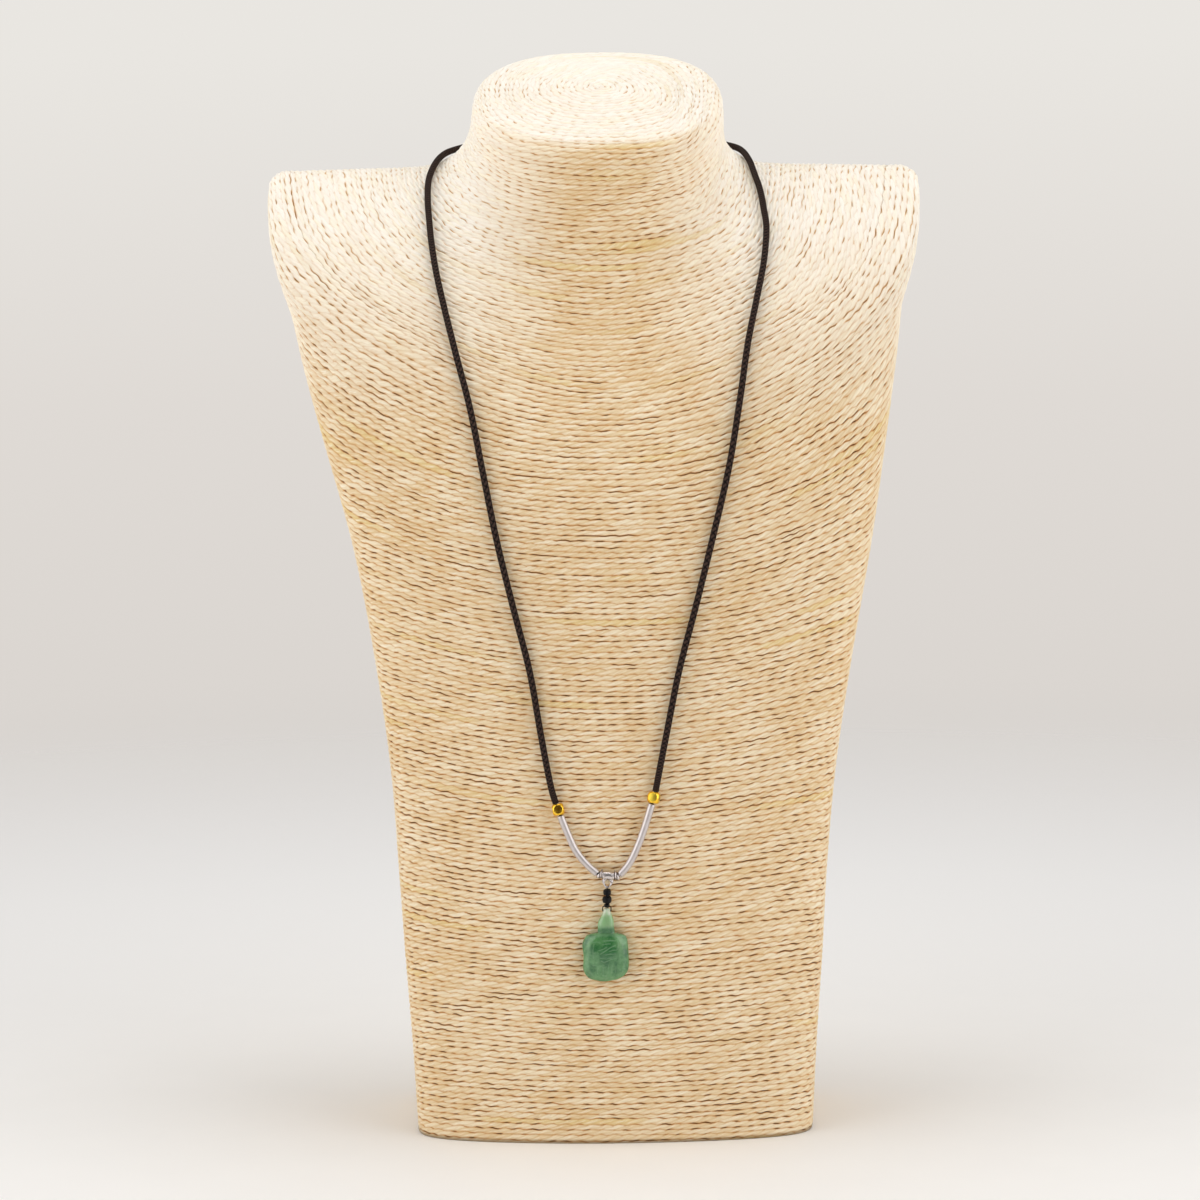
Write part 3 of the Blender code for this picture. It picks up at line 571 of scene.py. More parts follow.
def strawFinish():
    finish, tree, shader = startFinish("strawRope", straw["gloss"])
    uv = addNode(tree, "UVMap", {}, uv_map="rope").outputs[0]
    phase, across = split(uv)[:2]
    swing = maths("SINE", times(across, math.tau))
    slant = maths("MULTIPLY_ADD", swing, -winding["lean"] / math.tau, across)
    twist = maths("ADD", slant, phase)
    saw = maths("FRACT", twist)
    hump = maths("SINE", times(saw, math.pi))
    middle = maths("SINE", times(across, math.pi))
    seam = ramp(maths("MINIMUM", saw, maths("SUBTRACT", 1.0, saw)), 0.12, 0.0)
    ply = maths("FLOOR", twist)
    tint = addNode(tree, "TexWhiteNoise", {"W": ply}, noise_dimensions="1D").outputs[0]
    paintedLight, gapShade = markOf(tree, "paintedLight"), markOf(tree, "gapShade")
    kept = maths("MULTIPLY_ADD", paintedLight, straw["paintedLightKeeps"] - 1, 1.0)
    grain = {0: times(phase, straw["fibresAlong"]), 1: times(twist, straw["fibresAcross"])}
    fibres = cloud(addNode(tree, "CombineXYZ", grain).outputs[0], 1.0, 4, 0.7)
    place = objectPlace(tree)
    patches, specks = cloud(place, 38, 3), cloud(place, 420, 3)
    cream = mixColours(ramp(patches, 0.3, 0.7), *straw["cream"])
    # painted light: near-white where light falls on the top, the neck's sides and the shoulders
    colour = mixColours(paintedLight, cream, straw["paintedLight"])
    # some plies are paler than their neighbours, some browner, and some runs are yellow
    colour = layOver(colour, straw["paler"], ramp(tint, 0.45, 0.95))
    colour = layOver(colour, straw["browner"], ramp(tint, 0.40, 0.05), kept)
    runs = {"W": times(phase, 0.04), "Scale": 1.0, "Detail": 2.0}
    run = addNode(tree, "TexNoise", runs, noise_dimensions="1D").outputs["Fac"]
    colour = layOver(colour, straw["yellow"], ramp(run, 0.66, 0.76), kept)
    colour = layOver(colour, straw["streaks"], ramp(fibres, 0.50, 0.72), kept)
    # painted highlight: each ply's crest is painted near-white, broken up by the fibres
    crestLit = ramp(times(hump, middle), 0.40, 0.90)
    colour = layOver(colour, straw["crestHighlight"], crestLit, ramp(fibres, 0.55, 0.35))
    # painted shade: each ply is painted browner on its underside and in the seams between its
    # twists
    under = times(ramp(across, 0.62, 0.95), ramp(specks, 0.30, 0.60))
    colour = layOver(colour, straw["under"], under, kept)
    # painted shade in the seams between twists, strongest near the rope's edges and weakest in its
    # middle
    seamShadeStrength = maths("MULTIPLY_ADD", middle, -0.55, 0.75)
    colour = layOver(colour, straw["seamShade"], seam, seamShadeStrength, kept)
    # painted shade in the grooves: a tan edge, and near-black where the courses stand well apart
    edge = mixColours(paintedLight, *straw["grooveEdgeShade"])
    colour = mixColours(ramp(gapShade, 0.12, 0.45), colour, edge)
    colour = layOver(colour, straw["deepGrooveShadow"], ramp(gapShade, 0.46, 0.84))
    # painted shadow: it is painted dark brown where the last turn curls under towards the floor
    height = split(place)[2]
    colour = layOver(colour, straw["foot"], ramp(height, 0.0020, 0.0002))
    dress(shader, colour, maths("MULTIPLY_ADD", fibres, 0.6, times(hump, 0.7)), straw["relief"])
    return finish


def windBust():
    finish = strawFinish()
    total = winding["courses"] + 1
    edges = [round(total * k / winding["bands"]) for k in range(winding["bands"] + 1)]
    for k, (first, last) in enumerate(zip(edges, edges[1:])):
        windBand(f"ropeBand{k + 1}", first, last, finish)


windBust()
print("bust wound")


def goldFinish():
    finish, tree, shader = startFinish("polishedGold", {"Metallic": 1.0})
    place = objectPlace(tree)
    rub = cloud(place, 900, 4)
    flat = markOf(tree, "flat")
    colour = mixColours(flat, mixColours(rub, *goldBeads["tones"]), goldBeads["dullTone"])
    rough = maths("MULTIPLY_ADD", rub, 0.12, maths("MULTIPLY_ADD", flat, 0.20, 0.08))
    tree.links.new(rough, shader.inputs["Roughness"])
    dress(shader, colour, rub, 0.000004)
    return finish


def silverFinish():
    finish, tree, shader = startFinish("satinSilver", {"Metallic": 1.0})
    place = objectPlace(tree)
    rub = cloud(place, 700, 4)
    tree.links.new(maths("MULTIPLY_ADD", rub, 0.14, 0.34), shader.inputs["Roughness"])
    dress(shader, mixColours(rub, *silverTubes["tones"]), rub, 0.000006)
    return finish


def oldSilverFinish():
    # silver that has darkened in the bail's grooves and in scrolls round its middle
    finish, tree, shader = startFinish("oldSilver", {"Metallic": 1.0})
    place = objectPlace(tree, tuple(-part for part in bail["centre"]))
    rub = cloud(place, 900, 4)
    parts = split(place)
    span = maths("ABSOLUTE", parts[0])
    grooves = [maths("ABSOLUTE", maths("SUBTRACT", span, spot)) for spot in bail["dark"]]
    groove = ramp(maths("MINIMUM", *grooves), 0.00030, 0.00008)
    around, along = bail["scrolls"]
    curl = maths("SINE", maths("MULTIPLY_ADD", parts[2], around, times(span, along)))
    scroll = times(ramp(curl, 0.70, 0.98), ramp(span, 0.0019, 0.0012), 0.6)
    dark = maths("MAXIMUM", groove, scroll)
    dark = maths("MULTIPLY", dark, maths("MULTIPLY_ADD", rub, 0.5, 0.65), clamp=True)
    colour = mixColours(dark, mixColours(rub, *bail["tones"]), bail["darkTone"])
    tree.links.new(maths("MULTIPLY_ADD", dark, 0.25, 0.26), shader.inputs["Roughness"])
    dress(shader, colour, maths("SUBTRACT", rub, dark), 0.00003)
    return finish


def frameAlong(point, direction):
    # x runs along the string and -y faces away from the chest
    x = direction.normalized()
    y = Vector((0, 1, 0))
    y = (y - x * x.dot(y)).normalized()
    return Matrix.Translation(point) @ Matrix((x, y, x.cross(y))).transposed().to_4x4()


goldBeads = {
    "tones": ((250, 196, 48), (255, 214, 84)), "dullTone": (226, 196, 70),
    "size": 0.0042, "ball": 0.00525, "bore": 0.002, "tilt": 10.0, "edge": 0.00007,
    "rise": 9.0,  # the front faces look a little upwards
    # middle, string's direction, side, turn about the string, and how dull the cut faces are
    "leftBead": ((-0.01979, -0.05737, 0.12623), (-0.34475, 0.03032, 0.93821), -1, 0.0, 0.1),
    "rightBead": ((0.01499, -0.05792, 0.13032), (0.29324, 0.01673, 0.95589), 1, -14.0, 1.0),
}


def makeBead(name, finish, node):
    # a ball cut flat on six sides, drilled along the string
    point, direction, side, turn, dull = goldBeads[name]
    half = goldBeads["size"] / 2
    shape = bmesh.new()
    bmesh.ops.create_uvsphere(shape, u_segments=64, v_segments=48, radius=goldBeads["ball"] / 2)
    for way in Matrix.Identity(3):
        for sign in (-1, 1):
            every = shape.verts[:] + shape.edges[:] + shape.faces[:]
            cut = bmesh.ops.bisect_plane(
                shape, geom=every, plane_co=way * sign * half, plane_no=way * sign, clear_outer=True
            )
            rim = [item for item in cut["geom_cut"] if isinstance(item, bmesh.types.BMEdge)]
            bmesh.ops.holes_fill(shape, edges=rim, sides=0)
    flats = sorted(shape.faces, key=lambda face: -face.calc_area())[:6]
    rims = {edge for face in flats for edge in face.edges}
    bmesh.ops.bevel(
        shape, geom=list(rims), offset=goldBeads["edge"], segments=2, profile=0.5,
        affect="EDGES", material=-1,
    )
    flats = sorted(shape.faces, key=lambda face: -face.calc_area())[:6]
    ends = [face for face in flats if abs(face.normal.x) > 0.9]
    flatRadius = math.sqrt((goldBeads["ball"] / 2) ** 2 - half ** 2)
    bmesh.ops.inset_individual(shape, faces=ends, thickness=flatRadius - goldBeads["bore"] / 2)
    lips = [edge for face in ends for edge in face.edges]
    bmesh.ops.delete(shape, geom=ends, context="FACES_ONLY")
    bmesh.ops.bridge_loops(shape, edges=lips)
    tilt = Matrix.Rotation(-side * math.radians(goldBeads["tilt"]), 4, "Y")
    spun = Matrix.Rotation(math.radians(turn), 4, "X")
    rise = Matrix.Rotation(math.radians(-goldBeads["rise"]), 4, "X")
    along = frameAlong(Vector((0, 0, 0)), Vector(direction))
    place = Matrix.Translation(point) @ rise @ along @ spun @ tilt
    bmesh.ops.transform(shape, matrix=place, verts=shape.verts)
    bead = addPiece(name, shape, finish, "gold", node)
    areas = np.array([face.area for face in bead.data.polygons])
    markMesh(bead.data, "flat", dull * (areas > areas.max() / 3), "FACE")
    bead.data.set_sharp_from_angle(angle=math.radians(50))


silverTubes = {
    "tones": ((198, 190, 191), (218, 212, 211)),
    "diameter": 0.0027, "bore": 0.0016, "lip": 0.00018, "sides": 28, "steps": 3,
    "leftTube": (
        (-0.00598, -0.0581, 0.1027), (-0.00646, -0.05809, 0.10308),
        (-0.00876, -0.05802, 0.10515), (-0.01085, -0.05794, 0.10741),
        (-0.01275, -0.05784, 0.10985), (-0.01432, -0.05775, 0.11251), (-0.01558, -0.05768, 0.11533),
        (-0.01675, -0.0576, 0.11822), (-0.01789, -0.05752, 0.12104), (-0.01895, -0.05744, 0.12401),
    ),
    "rightTube": (
        (0.00238, -0.05818, 0.10214), (0.00283, -0.05818, 0.10255),
        (0.00516, -0.05817, 0.1052), (0.007, -0.05815, 0.10816),
        (0.00848, -0.05813, 0.11139), (0.00983, -0.0581, 0.1146), (0.01103, -0.05807, 0.11795),
        (0.01216, -0.05804, 0.12125), (0.01322, -0.058, 0.12467), (0.01428, -0.05795, 0.12803),
    ),
}


def ringPlaces(points, closed=False):
    # how a ring stands at each point, square to the run
    places = []
    before, after = (points[-1], points[0]) if closed else (points[0], points[-1])
    for behind, point, ahead in zip([before] + points, points, points[1:] + [after]):
        forward = (ahead - behind).normalized()
        side = Vector((0, 1, 0))
        side = (side - forward * side.dot(forward)).normalized()
        turned = Matrix((side, forward.cross(side), forward)).transposed().to_4x4()
        places.append(Matrix.Translation(point) @ turned)
    return places


def sweepRing(shape, stations, sides):
    # pushes a ring through stations of (place, radius), and closes the last ring to the first
    place, radius = stations[0]
    made = bmesh.ops.create_circle(shape, segments=sides, radius=radius, matrix=place)
    ring = {edge for vert in made["verts"] for edge in vert.link_edges}
    firstRing = list(ring)
    for nextPlace, nextRadius in stations[1:]:
        grown = bmesh.ops.extrude_edge_only(shape, edges=list(ring))["geom"]
        verts = [item for item in grown if isinstance(item, bmesh.types.BMVert)]
        fresh = set(verts)
        ring = {
            item for item in grown
            if isinstance(item, bmesh.types.BMEdge) and fresh.issuperset(item.verts)
        }
        step = nextPlace @ Matrix.Scale(nextRadius / radius, 4) @ place.inverted()
        bmesh.ops.transform(shape, matrix=step, verts=verts)
        place, radius = nextPlace, nextRadius
    bmesh.ops.bridge_loops(shape, edges=firstRing + list(ring))


def makeTube(name, finish, node):
    run = smoothRun([Vector(point) for point in silverTubes[name]], silverTubes["steps"])
    lip, outer, bore = silverTubes["lip"], silverTubes["diameter"] / 2, silverTubes["bore"] / 2
    starts = [run[0], run[0].lerp(run[1], lip / (run[1] - run[0]).length)]
    ends = [run[-1].lerp(run[-2], lip / (run[-1] - run[-2]).length), run[-1]]
    line = starts + run[1:-1] + ends
    places = ringPlaces(line)
    radii = [outer - lip] + [outer] * (len(line) - 2) + [outer - lip]
    stations = list(zip(places, radii)) + [(place, bore) for place in reversed(places)]
    shape = bmesh.new()
    sweepRing(shape, stations, silverTubes["sides"])
    tube = addPiece(name, shape, finish, "silver", node)
    tube.data.set_sharp_from_angle(angle=math.radians(60))


bail = {
    "centre": (-0.00185, -0.05817, 0.10182), "lean": 6.0,
    "loopWidth": 0.0037, "wire": 0.0009, "taper": 0.5, "tall": 1.15, "drop": 0.0028,
    "bend": 0.0007,  # the ends rise towards the tubes
    "tones": ((206, 198, 198), (226, 220, 219)), "darkTone": (92, 78, 74),
    "dark": (0.00226, 0.00312),  # grooves that have darkened, from the middle
    "scrolls": (2600.0, 1500.0),  # how fast they turn with height and along
    # half of the turned outline, from the end inwards: along and radius in metres
    "outline": (
        (0.0035, 0.0008), (0.0035, 0.00165), (0.00342, 0.00188), (0.00322, 0.002),
        (0.00296, 0.00196), (0.0027, 0.00178), (0.00246, 0.0015), (0.00228, 0.00133),
        (0.00212, 0.00129), (0.002, 0.00138), (0.00186, 0.00143), (0.0017, 0.00138),
        (0.00158, 0.0014), (0.0012, 0.00149), (0.0006, 0.00153), (0.0, 0.00154),
    ),
}


def makeBail(finish):
    # a waisted barrel with raised rims, and the tapered loop under it
    half = bail["outline"]
    outline = [(-along, radius) for along, radius in half] + list(reversed(half[:-1]))
    shape = bmesh.new()
    line = [shape.verts.new((along, 0, -radius)) for along, radius in outline]
    edges = [shape.edges.new(pair) for pair in zip(line, line[1:] + line[:1])]
    spinRound(shape, line + edges, (1, 0, 0), 56)
    end = half[0][0]
    for vert in shape.verts:
        share = vert.co.x / end
        slope = math.atan(4 * bail["bend"] / end * share ** 3)
        rise, high = bail["bend"] * share ** 4, vert.co.z
        vert.co.x -= high * math.sin(slope)
        vert.co.z = rise + high * math.cos(slope)
    place = Matrix.Translation(bail["centre"]) @ Matrix.Rotation(math.radians(bail["lean"]), 4, "Y")
    bmesh.ops.transform(shape, matrix=place, verts=shape.verts)
    ring = bmesh.new()
    across = (bail["loopWidth"] - bail["wire"]) / 2
    start = Matrix.Translation((across, 0, 0))
    made = bmesh.ops.create_circle(ring, segments=16, radius=bail["wire"] / 2, matrix=start)
    spinRound(ring, withEdges(made["verts"]), (0, 1, 0), 48)
    for vert in ring.verts:
        vert.co.x *= 1 + bail["taper"] * vert.co.z / (bail["loopWidth"] / 2)
        vert.co.z *= bail["tall"]
    place = place @ Matrix.Translation((0, 0, -bail["drop"]))
    bmesh.ops.transform(ring, matrix=place, verts=ring.verts)
    bmesh.ops.recalc_face_normals(ring, faces=ring.faces)
    joined = meshOf("bailLoop", ring)
    shape.from_mesh(joined)
    bpy.data.meshes.remove(joined)
    piece = addPiece("silverBail", shape, finish, "silver", "bail_bead")
    piece.data.set_sharp_from_angle(angle=math.radians(55))


polishedGold = goldFinish()
satinSilver = silverFinish()
for side in ("left", "right"):
    makeBead(side + "Bead", polishedGold, side + "_gold_bead")
for side in ("left", "right"):
    makeTube(side + "Tube", satinSilver, side + "_silver_tube")
makeBail(oldSilverFinish())
print("beads, tubes and bail made")


knots = {
    "place": ((0.99966, 0, 0.02618), (0, 1, 0), (-0.02618, 0, 0.99966)),
    "origin": (-0.00227, -0.05817, 0.09778),
    "thread": 0.0005,
    "ring": 0.001,
    # each knot: top, bottom and widest radius below the origin, and its turns of thread
    "wraps": (
        (0.00085, 0.00335, 0.0015, 4), (0.00345, 0.0062, 0.00178, 5),
        (0.00625, 0.00785, 0.00112, 3),
    ),
    "strand": 0.0004, "coil": 0.00056,
    "tones": ((3, 2, 3), (16, 14, 16)), "gloss": {"Roughness": 0.28, "Specular IOR Level": 0.22},
    "stirrup": (0.00723, 0.0093, 0.00152),  # top, bottom and half width
}


def threadFinish():
    finish, tree, shader = startFinish("waxedThread", knots["gloss"])
    place = objectPlace(tree)
    fuzz = cloud(place, 3200, 3)
    colour = mixColours(ramp(fuzz, 0.45, 0.75), *knots["tones"])
    dress(shader, colour, fuzz, 0.00003)
    return finish


def pendantMatrix():
    turned = Matrix(knots["place"]).to_4x4()
    return Matrix.Translation(knots["origin"]) @ turned


def addCoil(shape, top, bottom, widest, turns):
    # one knot: thread wound round and round, on a plump core
    thick = knots["coil"]
    reach = widest - thick / 2
    steps = round(turns * 20)
    drop = -(bottom - top - thick) / steps
    start = Matrix.Translation((reach, 0, -top - thick / 2)) @ Matrix.Rotation(math.pi / 2, 4, "X")
    made = bmesh.ops.create_circle(shape, segments=8, radius=thick / 2, matrix=start)
    before = set(shape.verts)
    bmesh.ops.spin(
        shape, geom=withEdges(made["verts"]), cent=(0, 0, 0), axis=(0, 0, 1), dvec=(0, 0, drop),
        angle=math.tau * turns, steps=steps,
    )
    fresh = [vert for vert in shape.verts if vert not in before] + made["verts"]
    middle, half = -(top + bottom) / 2, (bottom - top) / 2
    for vert in fresh:
        away = min(abs(vert.co.z - middle) / half, 1)
        vert.co.xy = vert.co.xy * (1 - 0.30 * away ** 2.4)
        vert.co.y *= 0.92
    core = bmesh.ops.create_uvsphere(shape, u_segments=20, v_segments=12, radius=1)["verts"]
    plump = Matrix.Diagonal((reach * 0.98, reach * 0.9, half * 0.96, 1))
    bmesh.ops.transform(shape, matrix=Matrix.Translation((0, 0, middle)) @ plump, verts=core)


def makeKnots(finish):
    shape = bmesh.new()
    for top, bottom, widest, turns in knots["wraps"]:
        addCoil(shape, top, bottom, widest, turns)
    bmesh.ops.create_cone(
        shape, cap_ends=True, segments=14, radius1=0.0006, radius2=0.0006, depth=0.0062,
        matrix=Matrix.Translation((0, 0, -0.0044)),
    )
    ring = bmesh.ops.create_circle(
        shape, segments=10, radius=knots["thread"] / 2,
        matrix=Matrix.Translation((0, knots["ring"], 0)) @ Matrix.Rotation(math.pi / 2, 4, "Y"),
    )["verts"]
    spinRound(shape, withEdges(ring), (1, 0, 0), 32)
    top, bottom, half = knots["stirrup"]
    middle, tall = -(top + bottom) / 2, (bottom - top) / 2
    path = []
    for k in range(48):
        c, s = math.cos(math.tau * k / 48), math.sin(math.tau * k / 48)
        reach = (c ** 4 + s ** 4) ** -0.25
        path.append(Vector((half * reach * c, 0, middle + tall * reach * s)))
    sweepRing(shape, [(place, knots["strand"] / 2) for place in ringPlaces(path, closed=True)], 10)
    bmesh.ops.transform(shape, matrix=pendantMatrix(), verts=shape.verts)
    addPiece("knottedThread", shape, finish, "black_braid", "knotted_thread")


waxedThread = threadFinish()
makeKnots(waxedThread)
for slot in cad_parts["core_thread"].material_slots:
    slot.material = waxedThread
print("thread knotted")


# millimetres across from its middle line and down from its tip
jade = {
    "voxel": 0.00018,
    "tip": 0.008,  # its tip hangs this far under the loop's wire
    "smoothing": 3,
    "dome": (
        (-1.3, 9.6), (-3.6, 10), (-5.2, 11.3), (-6, 13.1), (-6.2, 15.2), (-6.1, 16.8),
        (-6.6, 18.7), (-6.6, 20.5), (-6, 22.7), (-4.5, 24.4), (-2.5, 25.4), (0.1, 25.6),
        (2.6, 25.3), (4.8, 24.4), (6.2, 22.9), (6.8, 20.7), (6.9, 18.5), (6.8, 16.2),
        (6.4, 14), (5.6, 12.2), (4.5, 10.7), (3, 9.7), (1.2, 9.4),
    ),
    "ledge": 0.13,  # how far the rim lies under the dome
    "strokes": (  # how deep, then where
        (1, (-1, 11.7), (1.2, 11.5), (3.3, 11.5)),
        (0.8, (-1.4, 13.1), (-0.2, 12.8), (1.5, 12.6)),
        (1, (-2.1, 16.5), (-0.7, 15.6), (0.8, 14.5), (2.2, 13.6), (3.3, 13.3)),
        (0.8, (-2.6, 15.2), (-1, 14.6), (0.2, 13.9)),
        (0.8, (1.1, 15.4), (2.2, 15), (3.7, 14.9)),
        (0.8, (-0.2, 16.8), (1.6, 16.5), (3.4, 16.3)),
        (0.9, (-2.1, 18), (0, 18.3), (1.9, 17.8)),
        (1, (-1.8, 19), (-0.7, 19.6), (0.8, 18.9), (1.9, 18.3), (3.7, 18.1)),
        (0.6, (-4.9, 20.7), (-2.8, 21), (-0.7, 20.7)),
        (0.7, (-5, 12.4), (-3.6, 12), (-2.1, 12.4)),
        (0.6, (-4.6, 12.9), (-4.9, 15.4), (-4.6, 18.2)),
        (0.8, (3.8, 10.9), (4.5, 12.3), (4.2, 14.6)),
        (0.5, (-2.9, 21.5), (-3.1, 23.8)),
        (0.5, (-1, 21.4), (-0.9, 23.9)),
        (0.5, (0.9, 20.6), (0.8, 23.8)),
        (0.5, (2.3, 20.4), (2.1, 23.5)),
        (0.5, (3.6, 20.9), (3.5, 23.1)),
        (0.9, (-1.1, 24.5), (-0.4, 24.7), (0.4, 24.6)),
    ),
    "stroke": (0.10, 0.15),  # depth and width
    "neck": ((0.21, 3.9, 2.3), (0.16, 1.4, 1.2)),  # how much it swells, where and over what length
    "feet": ((-7.0, 12.2), (6.9, 12.6), (-6.9, 22.6), (6.9, 22.6)),
    "foot": (0.22, 1.3),
}


jadeTones = {
    "clouds": ((42, 102, 54), (92, 144, 90)),
    # laid over them, and how strongly
    "patches": ((126, 170, 122), 0.40), "flecks": ((28, 84, 48), 0.45),
    # painted shade in the dome's middle and under the head, then the paler head with painted light
    # round the dome's rim
    "deepShade": ((28, 96, 48), 0.68), "pale": ((150, 188, 138), 0.75),
    "cut": ((150, 190, 150), 0.34), "tip": ((206, 210, 192), 1.0),
    "gloss": {
        "Roughness": 0.2, "Coat Weight": 0.65, "Coat Roughness": 0.06, "Subsurface Scale": 0.0009,
        "Subsurface Weight": 0.35, "Subsurface Radius": (0.4, 1.0, 0.55),
    },
}


def jadeFinish():
    finish, tree, shader = startFinish("carvedJade", jadeTones["gloss"])
    place = objectPlace(tree)
    clouds = cloud(place, 260, 5, 0.65)
    veins = cloud(place, 900, 6, 0.7)
    colour = mixColours(ramp(clouds, 0.36, 0.64), *jadeTones["clouds"])
    masks = {"patches": ramp(veins, 0.50, 0.72), "flecks": ramp(veins, 0.42, 0.28)}
    masks.update({mark: markOf(tree, mark) for mark in ("deepShade", "pale", "cut")})
    bare = maths("MULTIPLY_ADD", ramp(veins, 0.34, 0.56), 0.5, 0.45)
    masks["tip"] = times(markOf(tree, "tip"), bare)
    for name, mask in masks.items():
        colour = layOver(colour, jadeTones[name], mask)
    dress(shader, colour, veins, 0.00007)
    return finish


def awayFrom(points, line):
    # the distance of each point from a line of several stretches
    best = np.full(len(points), 1e9)
    for start, end in zip(np.array(line[:-1]), np.array(line[1:])):
        run = end - start
        share = np.clip((points - start) @ run / (run @ run), 0, 1)
        best = np.minimum(best, np.linalg.norm(points - start - share[:, None] * run, axis=1))
    return best


def insideOf(points, loop):
    inside = np.zeros(len(points), bool)
    for (x1, y1), (x2, y2) in zip(loop, loop[1:] + loop[:1]):
        crosses = (points[:, 1] > y1) != (points[:, 1] > y2)
        with np.errstate(divide="ignore", invalid="ignore"):
            x = x1 + (points[:, 1] - y1) / (y2 - y1) * (x2 - x1)
        inside ^= crosses & (points[:, 0] < x)
    return inside


def eased(values, low, high):
    u = np.clip((values - low) / (high - low), 0, 1)
    return u * u * (3 - 2 * u)


def carve(mesh):
    # lowers the rim round the dome, cuts the shell's lines and marks where they are
    world, normals = readMesh(mesh.vertices, "co"), readMesh(mesh.vertex_normals, "vector")
    place = np.array(pendantMatrix() @ Matrix.Translation((0, 0, -jade["tip"])))
    local = (world - place[:3, 3]) @ place[:3, :3]
    spots = np.stack([local[:, 0], -local[:, 2]], axis=1) * 1000
    front = eased(-normals[:, 1], 0.15, 0.6)
    dome = jade["dome"]
    side = awayFrom(spots, dome + dome[:1]) * np.where(insideOf(spots, dome), -1, 1)
    shell = eased(spots[:, 1], 8.4, 9.8)
    ledge = jade["ledge"] * eased(side, -0.6, 0.5) * shell * front
    depth, width = jade["stroke"]
    cut = np.zeros(len(world))
    for deepness, *line in jade["strokes"]:
        cut = np.maximum(cut, deepness * np.exp(-(awayFrom(spots, line) / width) ** 2))
    cut *= front * eased(-side, 0.1, 0.5)
    high, reach = jade["foot"]  # how far the four feet stand up
    apart = [np.linalg.norm(spots - np.array(foot), axis=1) for foot in jade["feet"]]
    feet = sum(high * np.exp(-(gone / reach) ** 2) for gone in apart)
    x, y = spots.T
    swell = sum(more * np.exp(-((y - spot) / run) ** 2) for more, spot, run in jade["neck"])
    world += (swell * local[:, 0])[:, None] * place[:3, 0]
    world[:, 1] += (ledge + depth * cut - feet * front) / 1000
    mesh.vertices.foreach_set("co", world.ravel())
    # painted shade: the dome's middle and the collar under the head are painted deeper green
    deepShade = np.exp(-((x - 0.9) / 3.6) ** 2 - ((y - 16.5) / 4.6) ** 2)
    nape = np.exp(-(x / 2.6) ** 4 - ((y - 8.4) / 1.3) ** 2)
    # painted light: a pale patch on the dome's right edge, and a paler rim round the dome, most at
    # its upper left; the head's paleness is its own colour
    sideHighlight = np.exp(-(x - 4.9) ** 2 - ((y - 13.2) / 2.4) ** 2)
    rim = np.exp(-((side - 0.5) / 0.7) ** 2) * eased(-x - y + 21, -4, 9) * shell
    marks = {
        "pale": 1 - eased(y, 5.6, 7.8) + 0.45 * sideHighlight + 0.35 * rim,
        "deepShade": deepShade + 0.7 * nape,
        "cut": (cut + 0.2 * np.exp(-(side / 0.35) ** 2) * shell) * front,
        "tip": 1 - eased(y, 0.8, 3.4),
    }
    for name, values in marks.items():
        markMesh(mesh, name, np.clip(values, 0, 1))


def makeJade(finish):
    shape = bmesh.new()
    shape.from_mesh(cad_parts["jade_tortoise"].data)
    bmesh.ops.remove_doubles(shape, verts=shape.verts, dist=1e-6)
    piece = addPiece("carvedTortoise", shape, finish, "jade", "jade_tortoise")
    voxels = piece.modifiers.new("voxels", "REMESH")
    voxels.mode = "VOXEL"
    voxels.voxel_size = jade["voxel"]
    graph = bpy.context.evaluated_depsgraph_get()
    fine = bpy.data.meshes.new_from_object(piece.evaluated_get(graph))
    piece.modifiers.clear()
    shape = bmesh.new()
    shape.from_mesh(fine)
    for _ in range(jade["smoothing"]):
        bmesh.ops.smooth_vert(
            shape, verts=shape.verts, factor=0.5, use_axis_x=True, use_axis_y=True, use_axis_z=True
        )
    shape.to_mesh(fine)
    shape.free()
    carve(fine)
    fine.shade_smooth()
    piece.data = fine
    if not fine.materials:
        fine.materials.append(finish)


makeJade(jadeFinish())
print("jade carved")


studio = {
    "floorReach": 1.25, "floorFade": 0.45,
    "floor": ((247, 245, 242), (250, 248, 245)), "farFloor": (252, 250, 248),
    "lights": {
        "leftBox": {"place": (-1.30, -0.60, 0.80), "size": 2.1, "power": 13.8},
        "rightBox": {"place": (1.30, -0.60, 0.80), "size": 2.1, "power": 13.8},
        "topBox": {"place": (0.0, 0.10, 1.7), "size": 1.0, "power": 7.4},
    },
    "room": (0.36, 0.36, 0.36), "roomFront": (0.46, 0.45, 0.43), "roomDark": (0.085, 0.06, 0.045),
    # the backdrop's tone by how far below level one looks
    "backdrop": (
        (-0.60, (236, 232, 227)), (-0.222, (237, 233, 228)), (-0.178, (225, 220, 216)),
        (-0.150, (218, 213, 208)), (-0.078, (223, 218, 213)), (0.000, (233, 230, 225)),
        (0.160, (236, 233, 229)),
    ),
}


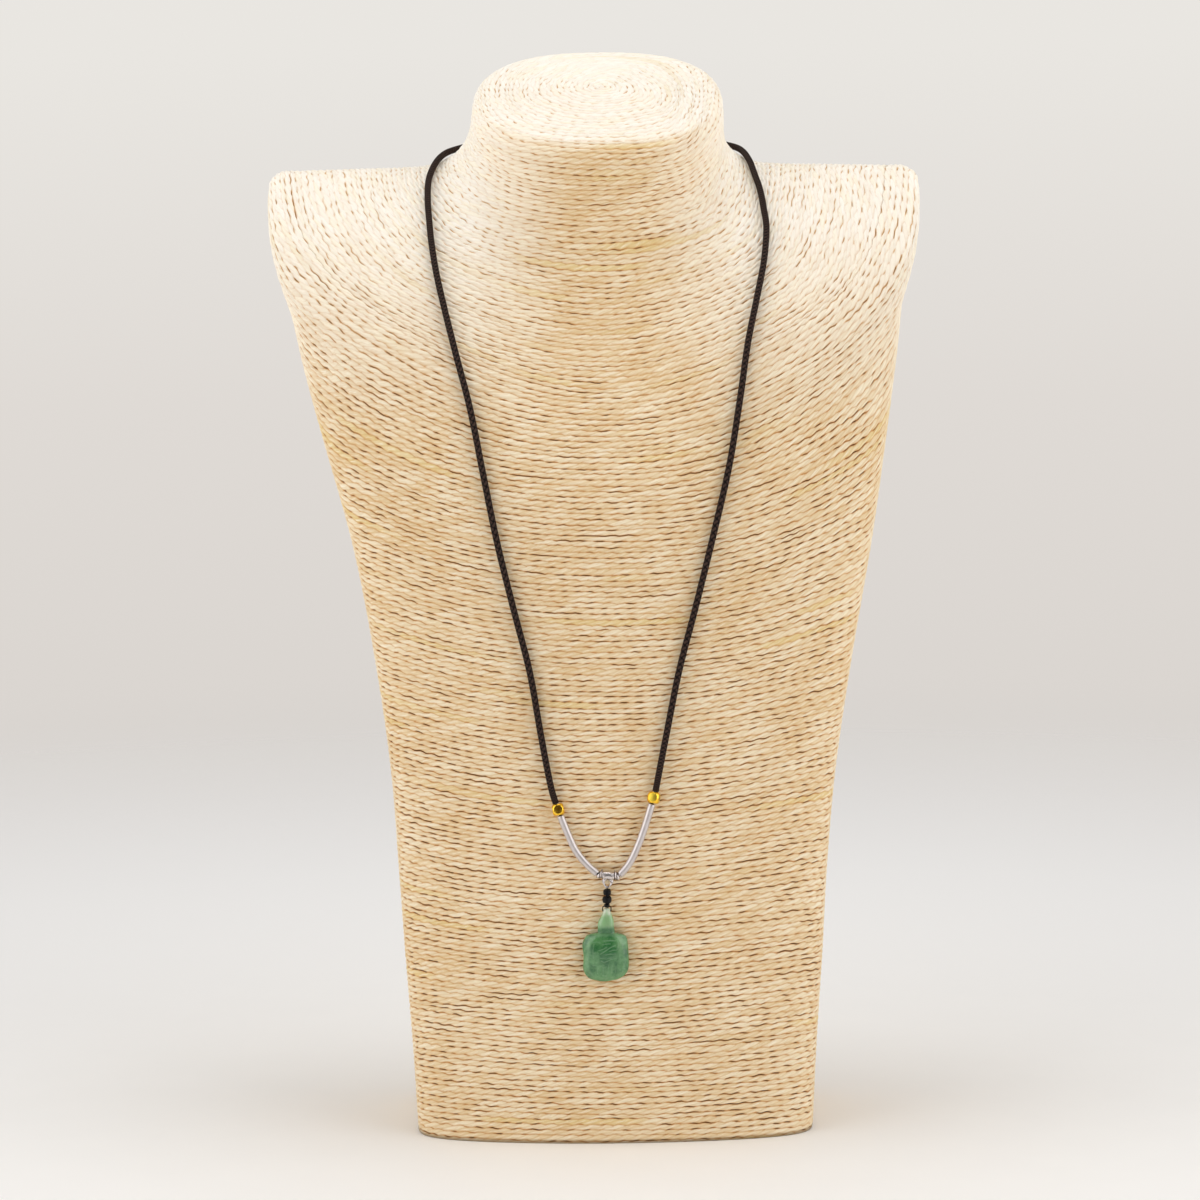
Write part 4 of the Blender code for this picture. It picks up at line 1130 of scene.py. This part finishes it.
def floorFinish():
    finish, tree, shader = startFinish("paleFloor", {"Roughness": 0.7})
    place = objectPlace(tree)
    grain = cloud(place, 30, 3)
    away = addNode(tree, "VectorMath", {0: place}, operation="LENGTH").outputs["Value"]
    colour = mixColours(grain, *studio["floor"])
    colour = mixColours(ramp(away, 0.10, 0.50), colour, studio["farFloor"])
    tree.links.new(colour, shader.inputs["Base Color"])
    # the floor melts into the backdrop further out
    seen = ramp(away, studio["floorReach"] * 0.96, studio["floorFade"])
    tree.links.new(seen, shader.inputs["Alpha"])
    return finish


def addFloor():
    shape = bmesh.new()
    bmesh.ops.create_circle(shape, cap_ends=True, segments=96, radius=studio["floorReach"])
    floor = addObject("floor", meshOf("floor", shape))
    floor.data.materials.append(floorFinish())


def addLight(name, spec):
    data = bpy.data.lights.new(name, "AREA")
    data.shape, data.size, data.energy = "DISK", spec["size"], spec["power"]
    lamp = addObject(name, data)
    lamp.location = spec["place"]
    aim = Vector((0, 0, 0.2)) - Vector(spec["place"])
    lamp.rotation_mode = "QUATERNION"
    lamp.rotation_quaternion = aim.to_track_quat("-Z", "Y")


def addWorld():
    world = bpy.data.worlds.new("paleRoom")
    bpy.context.scene.world = world
    world.use_nodes = True
    tree = world.node_tree
    sky = tree.nodes["Background"]
    y, z = split(addNode(tree, "TexCoord", {}).outputs["Generated"])[1:]
    low, high = studio["backdrop"][0][0], studio["backdrop"][-1][0]
    level = addNode(tree, "MapRange", {"Value": z, "From Min": low, "From Max": high}).outputs[0]
    tones = addNode(tree, "ValToRGB", {0: level})
    stops = tones.color_ramp.elements
    stops[0].color, stops[1].color = (shade(*studio["backdrop"][k][1]) for k in (0, -1))
    for height, colour in studio["backdrop"][1:-1]:
        stops.new((height - low) / (high - low)).color = shade(*colour)
    # the piece is lit by a dimmer room than the backdrop shows, and darkest behind the camera
    behind = maths("MULTIPLY_ADD", y, -0.97, times(z, 0.243))
    behind = ramp(behind, 0.90, 0.955)
    front = times(ramp(times(y, -1.0), 0.2, 0.9), 0.9)
    walls = mixColours(front, (*studio["room"], 1), (*studio["roomFront"], 1))
    room = mixColours(ramp(z, 0.13, 0.22), tones.outputs[0], walls)
    room = mixColours(behind, room, (*studio["roomDark"], 1))
    seen = addNode(tree, "LightPath", {}).outputs["Is Camera Ray"]
    tree.links.new(mixColours(seen, room, tones.outputs[0]), sky.inputs["Color"])
    sky.inputs["Strength"].default_value = 1.0


addFloor()
for name, spec in studio["lights"].items():
    addLight(name, spec)
addWorld()
print("stage set")
